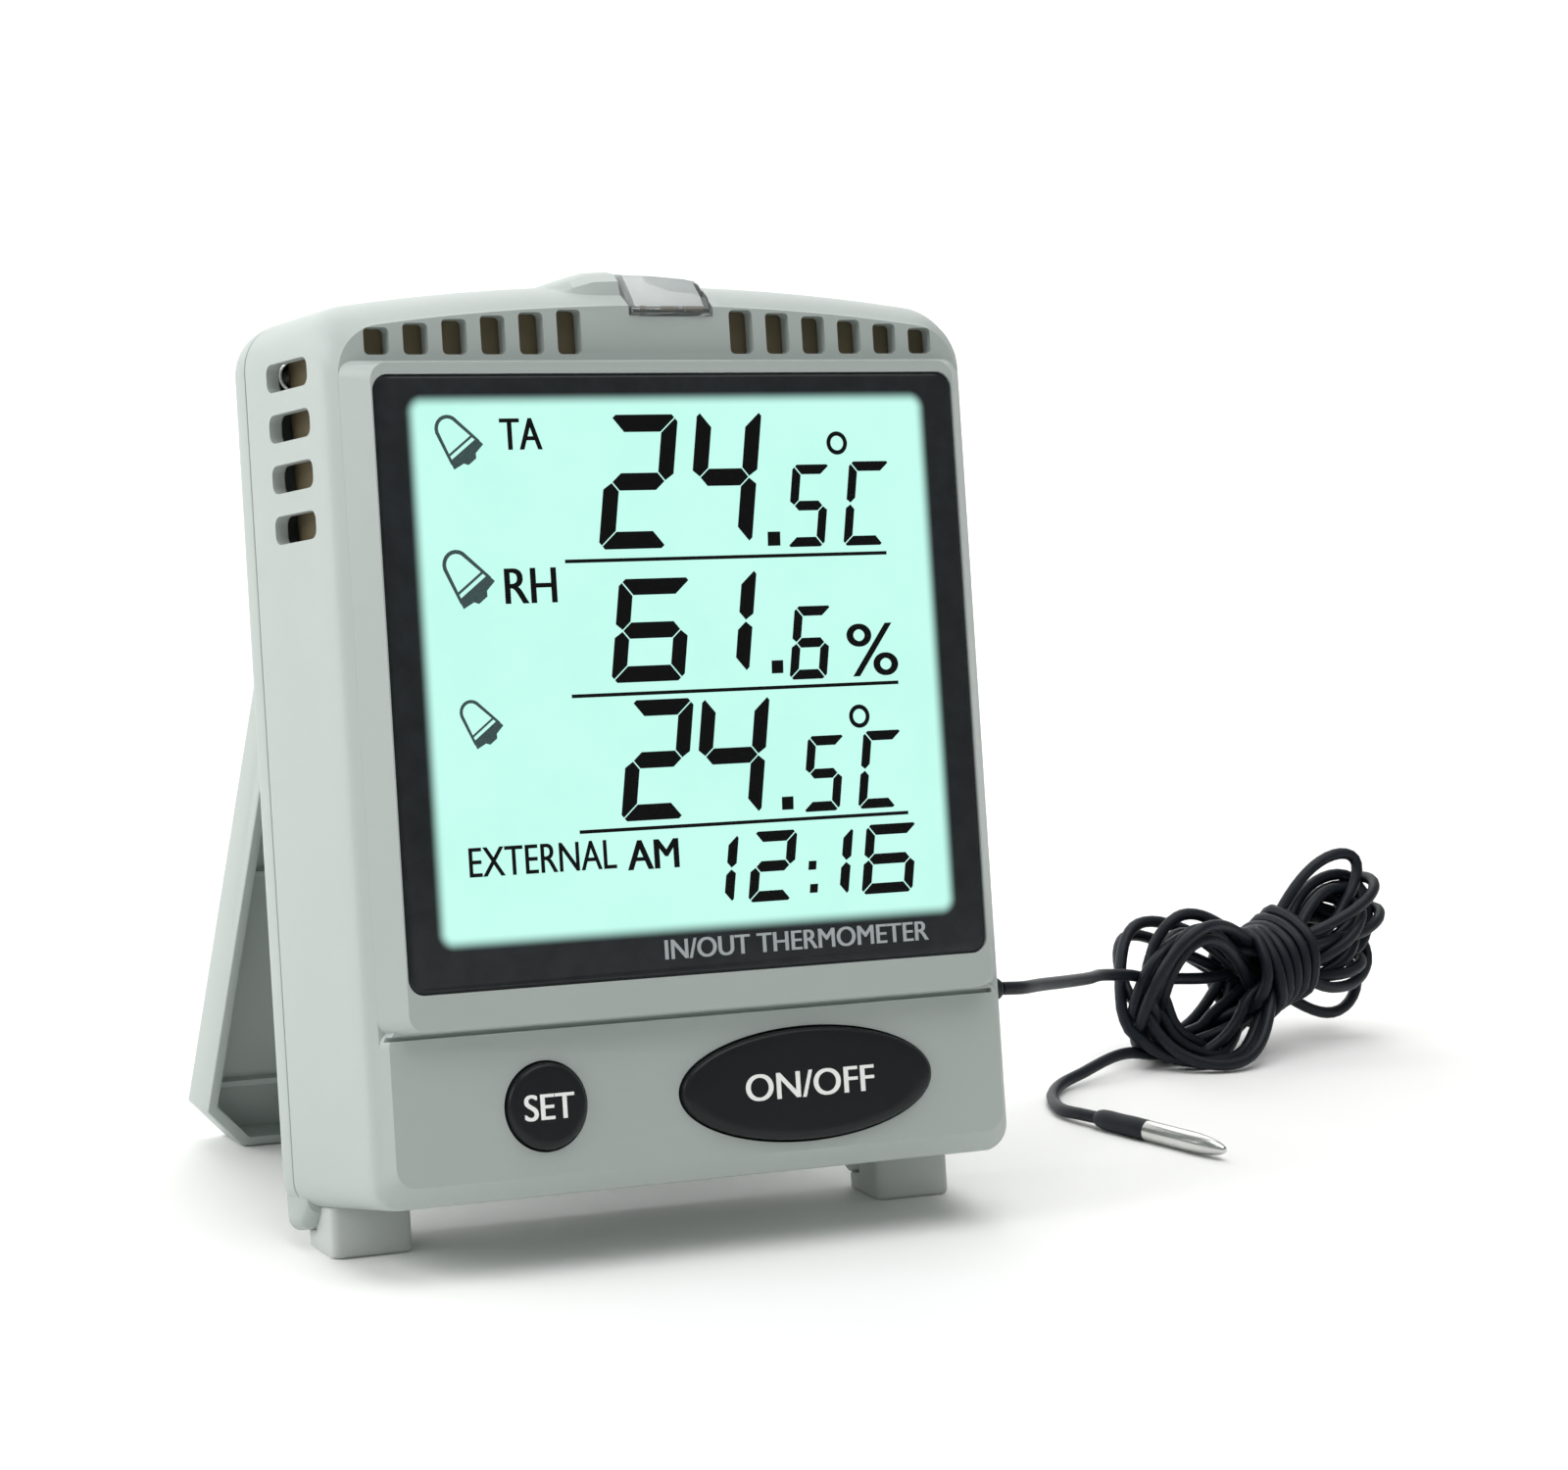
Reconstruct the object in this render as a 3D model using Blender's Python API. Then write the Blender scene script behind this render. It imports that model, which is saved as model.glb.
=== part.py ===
"""Desktop digital thermometer with a wired probe, standing on its fold-out stand.

The case is modelled upright in its own frame: x across, y from the front to the back, z up from
the bottom front edge. The empty CaseTilt then leans it back onto its feet and its stand. The
cable, the hank and the probe lie on the floor and are placed in the world frame.
"""

import math

import bmesh
import bpy
from mathutils import Matrix, Vector

MM = 0.001

# Where the case stands
LEAN = math.radians(12.1)
CASE_LIFT = 14.04 * MM
CASE_BACK = -55.43 * MM

# Case: half width, top and bottom of its outline at each depth
BAND_Y = 4.5 * MM
PARTING_Y = 33.0 * MM
REAR_Y = 38.0 * MM
HALF_WIDTHS = ((4.5, 58.34), (6.5, 60.0), (10.0, 60.4), (14.0, 60.8), (33.0, 62.95), (38.0, 63.5))
TOPS = ((4.5, 147.3), (6.5, 149.4), (10.0, 151.3), (14.0, 152.0), (33.0, 152.0), (38.0, 151.6))
BOTTOMS = ((4.5, 2.2), (6.5, 0.0), (38.0, 0.0))
CROWN_RADIUS = 400 * MM
BOTTOM_CORNER = 4.5 * MM
TOP_CORNER = 8.5 * MM
WALL = 2.2 * MM
GAP = 0.3 * MM

# Display block and window
BLOCK_HALF = 54.7 * MM
BLOCK_BOTTOM = 28.6 * MM
BLOCK_TOP = 137.4 * MM
WINDOW_HALF = 54.3 * MM
WINDOW_BOTTOM = 34.8 * MM
WINDOW_TOP = 135.2 * MM
WINDOW_THICK = 1.4 * MM
GLASS_HALF = 50.0 * MM
GLASS_BOTTOM = 40.0 * MM
GLASS_TOP = 133.0 * MM

# Lower panel and its buttons
PANEL_Y = 3.0 * MM
PANEL_HALF = 57.2 * MM
PANEL_BOTTOM = 3.6 * MM
SET_X = -30.0 * MM
SET_Z = 15.0 * MM
SET_RADIUS = 7.2 * MM
POWER_X = 18.9 * MM
POWER_Z = 14.8 * MM
POWER_HALF_LONG = 24.1 * MM
POWER_HALF_HIGH = 9.45 * MM
BUTTON_FRONT_Y = 1.7 * MM
BUTTON_GAP = 0.35 * MM
FLANGE_Y = 5.6 * MM
FLANGE_THICK = 1.2 * MM
FLANGE_OUT = 1.1 * MM
BUTTON_BACK_Y = 8.3 * MM
DOME_ROOM = 1.0 * MM

# Openings in the front cover
VENT_STARTS = (14.0, 21.0, 28.0, 35.0, 42.0, 49.0)
VENT_WIDTH = 3.8 * MM
VENT_BOTTOM = 139.4 * MM
SLOT_HEIGHTS = (137.6, 129.2, 120.8, 112.4)
SLOT_FRONT = 12.0 * MM
SLOT_BACK = 25.8 * MM
SLOT_HEIGHT = 4.7 * MM

# Alarm lens
LENS_LEFT = -4.6 * MM
LENS_RIGHT = 10.7 * MM
LENS_TOP_LEFT = 153.9 * MM
LENS_TOP_RIGHT = 153.0 * MM

# Board and what it carries
BOARD_Y = 10.8 * MM
BOARD_THICK = 1.6 * MM
BOARD_HALF = 46.0 * MM
BOARD_BOTTOM = 5.0 * MM
BOARD_TOP = 132.0 * MM

# Case screws
SCREW_PLACES = ((-52.5, 10.0), (52.5, 10.0), (-53.0, 139.5), (53.0, 139.5))
BOSS_RADIUS = 3.4 * MM
SCREW_RADIUS = 1.3 * MM
SCREW_HEAD_RADIUS = 2.4 * MM

# Battery bay, open to the rear
BAY_HALF = 28.5 * MM
BAY_BOTTOM = 20.0 * MM
BAY_TOP = 46.5 * MM
BAY_FRONT_Y = 24.0 * MM
BAY_WALL = 1.5 * MM
CELL_RADIUS = 5.25 * MM
CELL_LENGTH = 44.5 * MM
CELL_Y = 30.2 * MM
CELL_HEIGHTS = (26.8, 39.7)
DOOR_THICK = 1.8 * MM
DOOR_LAP = 3.0 * MM

# Stand
STAND_HINGE_Y = 43.0 * MM
STAND_HINGE_Z = 106.0 * MM
STAND_ANGLE = math.radians(31.2)
STAND_HALF = 54.0 * MM
STAND_LENGTH = 116.8 * MM
STAND_BACK = 5.85 * MM
STAND_RIM_FRONT = -3.6 * MM
STAND_TOP = 2.6 * MM
STAND_WALL = 1.8 * MM
STAND_CHAMFER = 8.0 * MM
HINGE_PIN_RADIUS = 1.2 * MM
PIN_CLEARANCE = 0.08 * MM
LUG_INNER = 46.8 * MM
LUG_OUTER = 51.6 * MM
LUG_RADIUS = 3.3 * MM

# Feet
FOOT_INNER = 44.0 * MM
FOOT_OUTER = 59.5 * MM
FOOT_FRONT_Y = 26.0 * MM
FOOT_BACK_Y = 37.6 * MM

# Cable
CABLE_RADIUS = 1.2 * MM
RELIEF_Y = 18.5 * MM
RELIEF_Z = 27.4 * MM
HANK_CENTRE = (179.0, 102.0)
HANK_LENGTH = 84.0 * MM
HANK_WIDTH = 54.0 * MM
HANK_HEIGHT = 34.0 * MM
HANK_ANGLE = math.radians(52)
PROBE_RADIUS = 2.0 * MM

# Places of the cable and the probe: x, the distance behind the case's front line, and the height
CABLE_KNOTS = ((72.3, 24.9, 36.5), (82.0, 33.6, 34.5), (96.4, 47.9, 31.0), (115.8, 68.6, 26.0),
               (129.5, 85.5, 22.2), (136.5, 91.5, 20.3), (141.6, 93.8, 19.6))
TAIL_KNOTS = ((141.6, 91.8, 5.6), (134.5, 89.6, 3.8), (127.3, 86.3, 2.5), (120.1, 82.9, 1.6),
              (113.4, 76.1, 1.4), (109.6, 68.7, 1.4), (108.3, 63.5, 1.6), (109.0, 59.6, 1.9),
              (110.37, 55.2, 2.05))
PROBE_BASE = (110.5, 54.8, 2.05)
PROBE_ALONG = (9.2, -29.1, 0.0)
CABLE_STEP = 5.5


def at(table, y):
    """The value in a table of (depth, value) pairs in millimetres, at the depth y in metres."""
    depth = y / MM
    for (y0, v0), (y1, v1) in zip(table, table[1:]):
        if depth <= y1:
            break
    share = min(max((depth - y0) / (y1 - y0), 0), 1)
    return (v0 + (v1 - v0) * share) * MM


def clear_scene():
    for thing in list(bpy.data.objects):
        bpy.data.objects.remove(thing, do_unlink=True)


def material(name, colour, roughness, metallic=0.0, transmission=0.0):
    made = bpy.data.materials.get(name)
    if made:
        return made
    made = bpy.data.materials.new(name)
    made.use_nodes = True
    shader = made.node_tree.nodes["Principled BSDF"]
    shader.inputs["Base Color"].default_value = (*colour, 1)
    shader.inputs["Roughness"].default_value = roughness
    shader.inputs["Metallic"].default_value = metallic
    shader.inputs["Transmission Weight"].default_value = transmission
    made.diffuse_color = (*colour, 1)
    return made


def case_plastic():
    return material("CasePlastic", (0.50, 0.56, 0.53), 0.45)


def dark_plastic():
    return material("DarkPlastic", (0.02, 0.022, 0.025), 0.4)


def steel():
    return material("Steel", (0.62, 0.62, 0.60), 0.3, 1.0)


def finish(thing, parent=None, smooth=True):
    if smooth:
        thing.data.shade_smooth()
        thing.data.set_sharp_from_angle(angle=math.radians(35))
    if parent:
        thing.parent = parent
    return thing


def object_from(name, shape, paint, parent=None, smooth=True):
    """An object from a bmesh, whose faces are turned outwards first."""
    bmesh.ops.recalc_face_normals(shape, faces=shape.faces)
    mesh = bpy.data.meshes.new(name)
    shape.to_mesh(mesh)
    shape.free()
    thing = bpy.data.objects.new(name, mesh)
    bpy.context.scene.collection.objects.link(thing)
    if paint:
        mesh.materials.append(paint)
    return finish(thing, parent, smooth)


def add_loft(shape, rings):
    """Adds a closed body through rings that all have the same number of points."""
    rows = [[shape.verts.new(point) for point in ring] for ring in rings]
    count = len(rows[0])
    for near, far in zip(rows, rows[1:]):
        for i in range(count):
            j = (i + 1) % count
            shape.faces.new((near[i], near[j], far[j], far[i]))
    shape.faces.new(rows[0])
    shape.faces.new(rows[-1])


def add_prism(shape, outline, y0, y1):
    """Adds an outline of (x, z) points, extruded from y0 to y1."""
    add_loft(shape, [[(x, y, z) for x, z in outline] for y in (y0, y1)])


def add_box(shape, low, high):
    outline = [(low[0], low[2]), (high[0], low[2]), (high[0], high[2]), (low[0], high[2])]
    add_prism(shape, outline, low[1], high[1])


def arc(centre, radius, start, end, steps):
    """Points along an arc, from the angle start to the angle end, in degrees."""
    turns = [math.radians(start + (end - start) * i / steps) for i in range(steps + 1)]
    return [(centre[0] + radius * math.cos(t), centre[1] + radius * math.sin(t)) for t in turns]


def rounded(left, right, bottom, top, radius, steps=5):
    """A rounded rectangle, anticlockwise."""
    return (
        arc((right - radius, bottom + radius), radius, -90, 0, steps)
        + arc((right - radius, top - radius), radius, 0, 90, steps)
        + arc((left + radius, top - radius), radius, 90, 180, steps)
        + arc((left + radius, bottom + radius), radius, 180, 270, steps)
    )


def ellipse(centre, half_long, half_high, steps=48):
    turns = [2 * math.pi * i / steps for i in range(steps)]
    return [(centre[0] + half_long * math.cos(t), centre[1] + half_high * math.sin(t)) for t in turns]


def case_outline(y, inset=0.0):
    """The case's outline at the depth y: two bottom corners and a crown that is one wide arc."""
    half = at(HALF_WIDTHS, y) - inset
    top = at(TOPS, y) - inset
    bottom = at(BOTTOMS, y) + inset
    low = BOTTOM_CORNER - inset / 2
    corner = TOP_CORNER - inset / 2
    crown = CROWN_RADIUS - inset
    centre = top - crown
    rise = math.sqrt((crown - corner) ** 2 - (half - corner) ** 2)
    tilt = math.degrees(math.atan2(rise, half - corner))
    points = arc((half - low, bottom + low), low, -90, 0, 4)
    points += arc((half - corner, centre + rise), corner, 0, tilt, 6)
    points += arc((0, centre), crown, tilt, 180 - tilt, 18)[1:-1]
    points += arc((corner - half, centre + rise), corner, 180 - tilt, 180, 6)
    points += arc((low - half, bottom + low), low, 180, 270, 4)
    return points


def case_ring(y, inset=0.0):
    return [(x, y, z) for x, z in case_outline(y, inset)]


def cutter_from(name, shape, parent):
    made = object_from(name, shape, None, parent, smooth=False)
    made.hide_render = True
    made.display_type = "WIRE"
    made.hide_set(True)
    return made


def apply_boolean(target, tool, operation):
    step = target.modifiers.new(operation.title() + tool.name, "BOOLEAN")
    step.operation = operation
    step.object = tool
    step.solver = "EXACT"
    step.use_self = True


def cut(target, shape, label):
    apply_boolean(target, cutter_from("Cut" + label, shape, target.parent), "DIFFERENCE")


def join(target, shape, label):
    apply_boolean(target, cutter_from("Add" + label, shape, target.parent), "UNION")


def add_cylinder(shape, start, end, radius, sides=24, end_radius=None):
    """Adds a cylinder, or a cone where end_radius is given, between two points."""
    start, end = Vector(start), Vector(end)
    along = (end - start).normalized()
    across = along.orthogonal().normalized()
    other = along.cross(across)
    turns = [2 * math.pi * i / sides for i in range(sides)]
    spread = [across * math.cos(t) + other * math.sin(t) for t in turns]
    far = radius if end_radius is None else end_radius
    add_loft(shape, [[start + s * radius for s in spread], [end + s * far for s in spread]])


def turned(name, rings, start, along, paint, parent, sides=24):
    """A round piece along an axis, from (distance, radius) pairs."""
    start, along = Vector(start), Vector(along).normalized()
    across = along.orthogonal().normalized()
    other = along.cross(across)
    turns = [2 * math.pi * i / sides for i in range(sides)]
    rows = []
    for reach, radius in rings:
        middle = start + along * reach
        rows.append([middle + (across * math.cos(t) + other * math.sin(t)) * radius for t in turns])
    shape = bmesh.new()
    add_loft(shape, rows)
    return object_from(name, shape, paint, parent)


def plain_box(name, low, high, paint, parent, bevel=0.0):
    shape = bmesh.new()
    add_box(shape, [v * MM for v in low], [v * MM for v in high])
    thing = object_from(name, shape, paint, parent, smooth=False)
    if bevel:
        step = thing.modifiers.new("Bevel", "BEVEL")
        step.width = bevel * MM
        step.segments = 2
    return thing


def vent_spans():
    """Left edge, right edge and top of each vent slit, on both sides of the lens."""
    for i, start in enumerate(VENT_STARTS):
        top = (146.3 - 0.45 * i - 0.03 * i * i) * MM
        near = start * MM
        yield -near - VENT_WIDTH, -near, top
        yield near, near + VENT_WIDTH, top


def front_cover(case):
    shape = bmesh.new()
    depths = [BAND_Y, 6.5 * MM, 10 * MM, 14 * MM, PARTING_Y]
    add_loft(shape, [case_ring(y) for y in depths])
    cover = object_from("front_cover", shape, case_plastic(), case)

    block = bmesh.new()
    faces = ((0.0, BLOCK_HALF, BLOCK_BOTTOM, BLOCK_TOP), (6.0 * MM, 59.6 * MM, 28.4 * MM, 138.4 * MM))
    rings = []
    for y, half, bottom, top in faces:
        rings.append([(x, y, z) for x, z in rounded(-half, half, bottom, top, 3 * MM)])
    rings.append([(x * 0.99, 8 * MM, z) for x, _, z in rings[-1]])
    add_loft(block, rings)
    join(cover, block, "DisplayBlock")

    panel = bmesh.new()
    rings = []
    for y, half, bottom in ((PANEL_Y, PANEL_HALF, PANEL_BOTTOM), (6.0 * MM, 59.55 * MM, 0.6 * MM)):
        rings.append([(x, y, z) for x, z in rounded(-half, half, bottom, 30 * MM, 3.5 * MM)])
    rings.append([(x * 0.99, 8 * MM, max(z, 2 * MM)) for x, _, z in rings[-1]])
    add_loft(panel, rings)
    join(cover, panel, "LowerPanel")

    bump = bmesh.new()
    rings = []
    for x, top, front in ((-19, 150.2, 9.0), (-13, 152.9, 7.5), (-9, 154.0, 7.0), (-4.95, 154.1, 7.0)):
        x, top, front = x * MM, top * MM, front * MM
        rings.append([(x, front, 148 * MM), (x, front + 2 * MM, top - 1.2 * MM), (x, front + 5 * MM, top),
                      (x, 19 * MM, top), (x, 20.5 * MM, top - 1.0 * MM), (x, 20.5 * MM, 148 * MM)])
    add_loft(bump, rings)
    join(cover, bump, "LensHood")

    hollow = bmesh.new()
    inner = [7.2 * MM, 10 * MM, 14 * MM, PARTING_Y, PARTING_Y + 2 * MM]
    add_loft(hollow, [case_ring(y, WALL) for y in inner])
    cut(cover, hollow, "Hollow")

    bays = bmesh.new()
    add_box(bays, (-52.6 * MM, 3.2 * MM, 33 * MM), (52.6 * MM, 9 * MM, 134.6 * MM))
    add_box(bays, (-54 * MM, 5 * MM, 3.7 * MM), (54 * MM, 9 * MM, 26.4 * MM))
    cut(cover, bays, "Bays")

    for y0, y1, edge, label in ((-1 * MM, 1.7 * MM, 0.0, "Pocket"), (-1 * MM, 5 * MM, 4.8 * MM, "Opening")):
        window = bmesh.new()
        reach = 0.1 * MM - edge
        outline = rounded(-WINDOW_HALF - reach, WINDOW_HALF + reach, WINDOW_BOTTOM - reach,
                          WINDOW_TOP + reach, 2.6 * MM)
        add_prism(window, outline, y0, y1)
        cut(cover, window, "Window" + label)

    groove = bmesh.new()
    add_box(groove, (-58.9 * MM, -1 * MM, 27.6 * MM), (56.2 * MM, 4.2 * MM, 28.35 * MM))
    cut(cover, groove, "Groove")

    holes = bmesh.new()
    round_hole = ellipse((SET_X, SET_Z), SET_RADIUS + BUTTON_GAP, SET_RADIUS + BUTTON_GAP)
    add_prism(holes, round_hole, 0, 8 * MM)
    oval = ellipse((POWER_X, POWER_Z), POWER_HALF_LONG + BUTTON_GAP, POWER_HALF_HIGH + BUTTON_GAP, 64)
    add_prism(holes, oval, 0, 8 * MM)
    cut(cover, holes, "ButtonHoles")

    vents = bmesh.new()
    for left, right, top in vent_spans():
        add_prism(vents, rounded(left, right, VENT_BOTTOM, top, 1.0 * MM, 2), 3 * MM, 9 * MM)
    cut(cover, vents, "Vents")

    slots = bmesh.new()
    for height in SLOT_HEIGHTS:
        for side in (-1, 1):
            low = height * MM - SLOT_HEIGHT / 2
            ends = sorted((side * 56 * MM, side * 66 * MM))
            ring = rounded(SLOT_FRONT, SLOT_BACK, low, low + SLOT_HEIGHT, 1.5 * MM, 3)
            add_loft(slots, [[(x, y, z) for y, z in ring] for x in ends])
    cut(cover, slots, "SideSlots")

    lens_hole = bmesh.new()
    add_lens_body(lens_hole, GAP)
    cut(cover, lens_hole, "LensHole")

    entry = bmesh.new()
    add_cylinder(entry, (56 * MM, RELIEF_Y, RELIEF_Z), (66 * MM, RELIEF_Y, RELIEF_Z), 2.5 * MM)
    cut(cover, entry, "CableEntry")

    bosses = bmesh.new()
    for x, z in SCREW_PLACES:
        front = (6.0 if z < 100 else 6.3) * MM
        add_cylinder(bosses, (x * MM, front, z * MM), (x * MM, PARTING_Y - GAP, z * MM), BOSS_RADIUS)
    join(cover, bosses, "Bosses")
    bores = bmesh.new()
    for x, z in SCREW_PLACES:
        add_cylinder(bores, (x * MM, 22 * MM, z * MM), (x * MM, 36 * MM, z * MM), SCREW_RADIUS + GAP, 16)
    cut(cover, bores, "BossBores")
    return cover


def add_lens_body(shape, grow):
    """The lens's section in depth and height, carried from its left end to its right end."""
    rings = []
    for x, top in ((LENS_LEFT - grow, LENS_TOP_LEFT), (LENS_RIGHT + grow, LENS_TOP_RIGHT)):
        low = 145.8 * MM - grow
        section = [(3.9 * MM - grow, low), (5.4 * MM - grow, 149.0 * MM), (8.4 * MM - grow, top - 0.9 * MM),
                   (12 * MM, top + grow), (18.5 * MM, top + grow), (20 * MM + grow, top - 1 * MM),
                   (20 * MM + grow, low)]
        rings.append([(x, y, z) for y, z in section])
    add_loft(shape, rings)


def alarm_lens(case):
    shape = bmesh.new()
    add_lens_body(shape, 0.0)
    clear = material("ClearLens", (0.85, 0.9, 0.88), 0.08, 0.0, 0.9)
    lens = object_from("alarm_lens", shape, clear, case, smooth=False)
    step = lens.modifiers.new("Bevel", "BEVEL")
    step.width = 0.4 * MM
    step.segments = 2
    return lens


def rear_cover(case):
    shape = bmesh.new()
    parting = PARTING_Y + GAP
    depths = ((parting, 0.0), (36.4 * MM, 0.0), (37.5 * MM, 0.5 * MM), (REAR_Y, 1.6 * MM))
    add_loft(shape, [case_ring(y, inset) for y, inset in depths])
    cover = object_from("rear_cover", shape, case_plastic(), case)

    hollow = bmesh.new()
    add_loft(hollow, [case_ring(y, WALL) for y in (PARTING_Y - 2 * MM, 36 * MM)])
    cut(cover, hollow, "RearHollow")

    tray = bmesh.new()
    add_box(tray, (-BAY_HALF - BAY_WALL, BAY_FRONT_Y - BAY_WALL, BAY_BOTTOM - BAY_WALL),
            (BAY_HALF + BAY_WALL, 37 * MM, BAY_TOP + BAY_WALL))
    for side in (-1, 1):
        left, right = sorted((side * FOOT_INNER, side * 61.5 * MM))
        add_box(tray, (left, 34 * MM, -4.0 * MM), (right, 37.8 * MM, 8 * MM))
        inner, outer = sorted((side * LUG_INNER, side * LUG_OUTER))
        reach = LUG_RADIUS
        low, high = STAND_HINGE_Z - reach, STAND_HINGE_Z + reach
        lug = rounded(36.5 * MM, STAND_HINGE_Y + reach, low, high, reach, 6)
        add_loft(tray, [[(x, y, z) for y, z in lug] for x in (inner, outer)])
    join(cover, tray, "TrayFeetLugs")

    bay = bmesh.new()
    add_box(bay, (-BAY_HALF, BAY_FRONT_Y, BAY_BOTTOM), (BAY_HALF, 40 * MM, BAY_TOP))
    add_box(bay, (-BAY_HALF - DOOR_LAP, REAR_Y - DOOR_THICK, BAY_BOTTOM - DOOR_LAP),
            (BAY_HALF + DOOR_LAP, 40 * MM, BAY_TOP + DOOR_LAP))
    cut(cover, bay, "BatteryBay")

    collars = bmesh.new()
    for x, z in SCREW_PLACES:
        add_cylinder(collars, (x * MM, PARTING_Y + GAP, z * MM), (x * MM, 37 * MM, z * MM), 4.2 * MM)
    join(cover, collars, "Collars")
    bores = bmesh.new()
    for x, z in SCREW_PLACES:
        add_cylinder(bores, (x * MM, 30 * MM, z * MM), (x * MM, 40 * MM, z * MM), SCREW_RADIUS + GAP, 16)
    cut(cover, bores, "ScrewHoles")
    seats = bmesh.new()
    for x, z in SCREW_PLACES:
        add_cylinder(seats, (x * MM, 35.2 * MM, z * MM), (x * MM, 40 * MM, z * MM), SCREW_HEAD_RADIUS + GAP)
    cut(cover, seats, "ScrewSeats")

    pins = bmesh.new()
    for side in (-1, 1):
        start = (side * 48 * MM, STAND_HINGE_Y, STAND_HINGE_Z)
        end = (side * 56 * MM, STAND_HINGE_Y, STAND_HINGE_Z)
        add_cylinder(pins, start, end, HINGE_PIN_RADIUS + PIN_CLEARANCE, 20)
    cut(cover, pins, "PinHoles")
    return cover


def stand(case):
    """The fold-out plate with its rims, about its hinge line; the empty holds it open."""
    hinge = bpy.data.objects.new("StandHinge", None)
    bpy.context.scene.collection.objects.link(hinge)
    hinge.parent = case
    hinge.location = (0, STAND_HINGE_Y, STAND_HINGE_Z)
    hinge.rotation_euler = (STAND_ANGLE, 0, 0)

    def outline(y, inset, top):
        """The plate's outline at the depth y, its bottom edge level with the floor when open."""
        bottom = inset - STAND_LENGTH + (STAND_BACK - y) * math.tan(STAND_ANGLE - LEAN)
        half = STAND_HALF - inset
        chamfer = STAND_CHAMFER - inset * 0.4
        points = [(-half, bottom + chamfer), (-half + chamfer, bottom), (half - chamfer, bottom),
                  (half, bottom + chamfer), (half, top), (-half, top)]
        return [(x, y, z) for x, z in points]

    shape = bmesh.new()
    add_loft(shape, [outline(y, 0.0, STAND_TOP) for y in (STAND_RIM_FRONT, STAND_BACK)])
    plate = object_from("stand", shape, case_plastic(), hinge, smooth=False)

    inner = bmesh.new()
    depths = (STAND_RIM_FRONT - 2 * MM, STAND_BACK - STAND_WALL)
    add_loft(inner, [outline(y, STAND_WALL, 8 * MM) for y in depths])
    cut(plate, inner, "StandInside")

    notch = bmesh.new()
    add_prism(notch, rounded(-20 * MM, 20 * MM, -6 * MM, 12 * MM, 3 * MM), -8 * MM, 10 * MM)
    cut(plate, notch, "StandNotch")

    holes = bmesh.new()
    for side in (-1, 1):
        radius = HINGE_PIN_RADIUS + PIN_CLEARANCE
        add_cylinder(holes, (side * 51.9 * MM, 0, 0), (side * 60 * MM, 0, 0), radius, 20)
    cut(plate, holes, "StandPinHoles")
    return plate


def hinge_pins(case):
    for side, name in ((-1, "hinge_pin_left"), (1, "hinge_pin_right")):
        start = (side * 48.3 * MM, STAND_HINGE_Y, STAND_HINGE_Z)
        rings = ((0, HINGE_PIN_RADIUS), (5.7 * MM, HINGE_PIN_RADIUS))
        turned(name, rings, start, (side, 0, 0), steel(), case, 20)


def button(name, outline, flange, case):
    """A cap that fills its hole, with a flange behind the panel that keeps it in."""
    shape = bmesh.new()
    add_prism(shape, outline(0.0), BUTTON_FRONT_Y, BUTTON_BACK_Y)
    cap = object_from(name, shape, dark_plastic(), case)
    rim = bmesh.new()
    add_prism(rim, outline(flange), FLANGE_Y, FLANGE_Y + FLANGE_THICK)
    join(cap, rim, "Flange" + name)
    return cap


def buttons(case):
    def round_outline(grow):
        return ellipse((SET_X, SET_Z), SET_RADIUS + grow, SET_RADIUS + grow)

    def oval_outline(grow):
        return ellipse((POWER_X, POWER_Z), POWER_HALF_LONG + grow, POWER_HALF_HIGH + grow, 64)

    button("set_button", round_outline, FLANGE_OUT, case)
    button("power_button", oval_outline, FLANGE_OUT, case)


def keypad_mat(case):
    shape = bmesh.new()
    add_box(shape, (-42 * MM, 9.7 * MM, 6.5 * MM), (45 * MM, 10.5 * MM, 25 * MM))
    mat = object_from("keypad_mat", shape, material("Silicone", (0.55, 0.57, 0.58), 0.7), case)
    domes = bmesh.new()
    for x, z in ((SET_X, SET_Z), (POWER_X - 12 * MM, POWER_Z), (POWER_X + 12 * MM, POWER_Z)):
        add_cylinder(domes, (x, 10 * MM, z), (x, BUTTON_BACK_Y + DOME_ROOM, z), 3.6 * MM, 24, 2.4 * MM)
    join(mat, domes, "Domes")
    return mat


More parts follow.
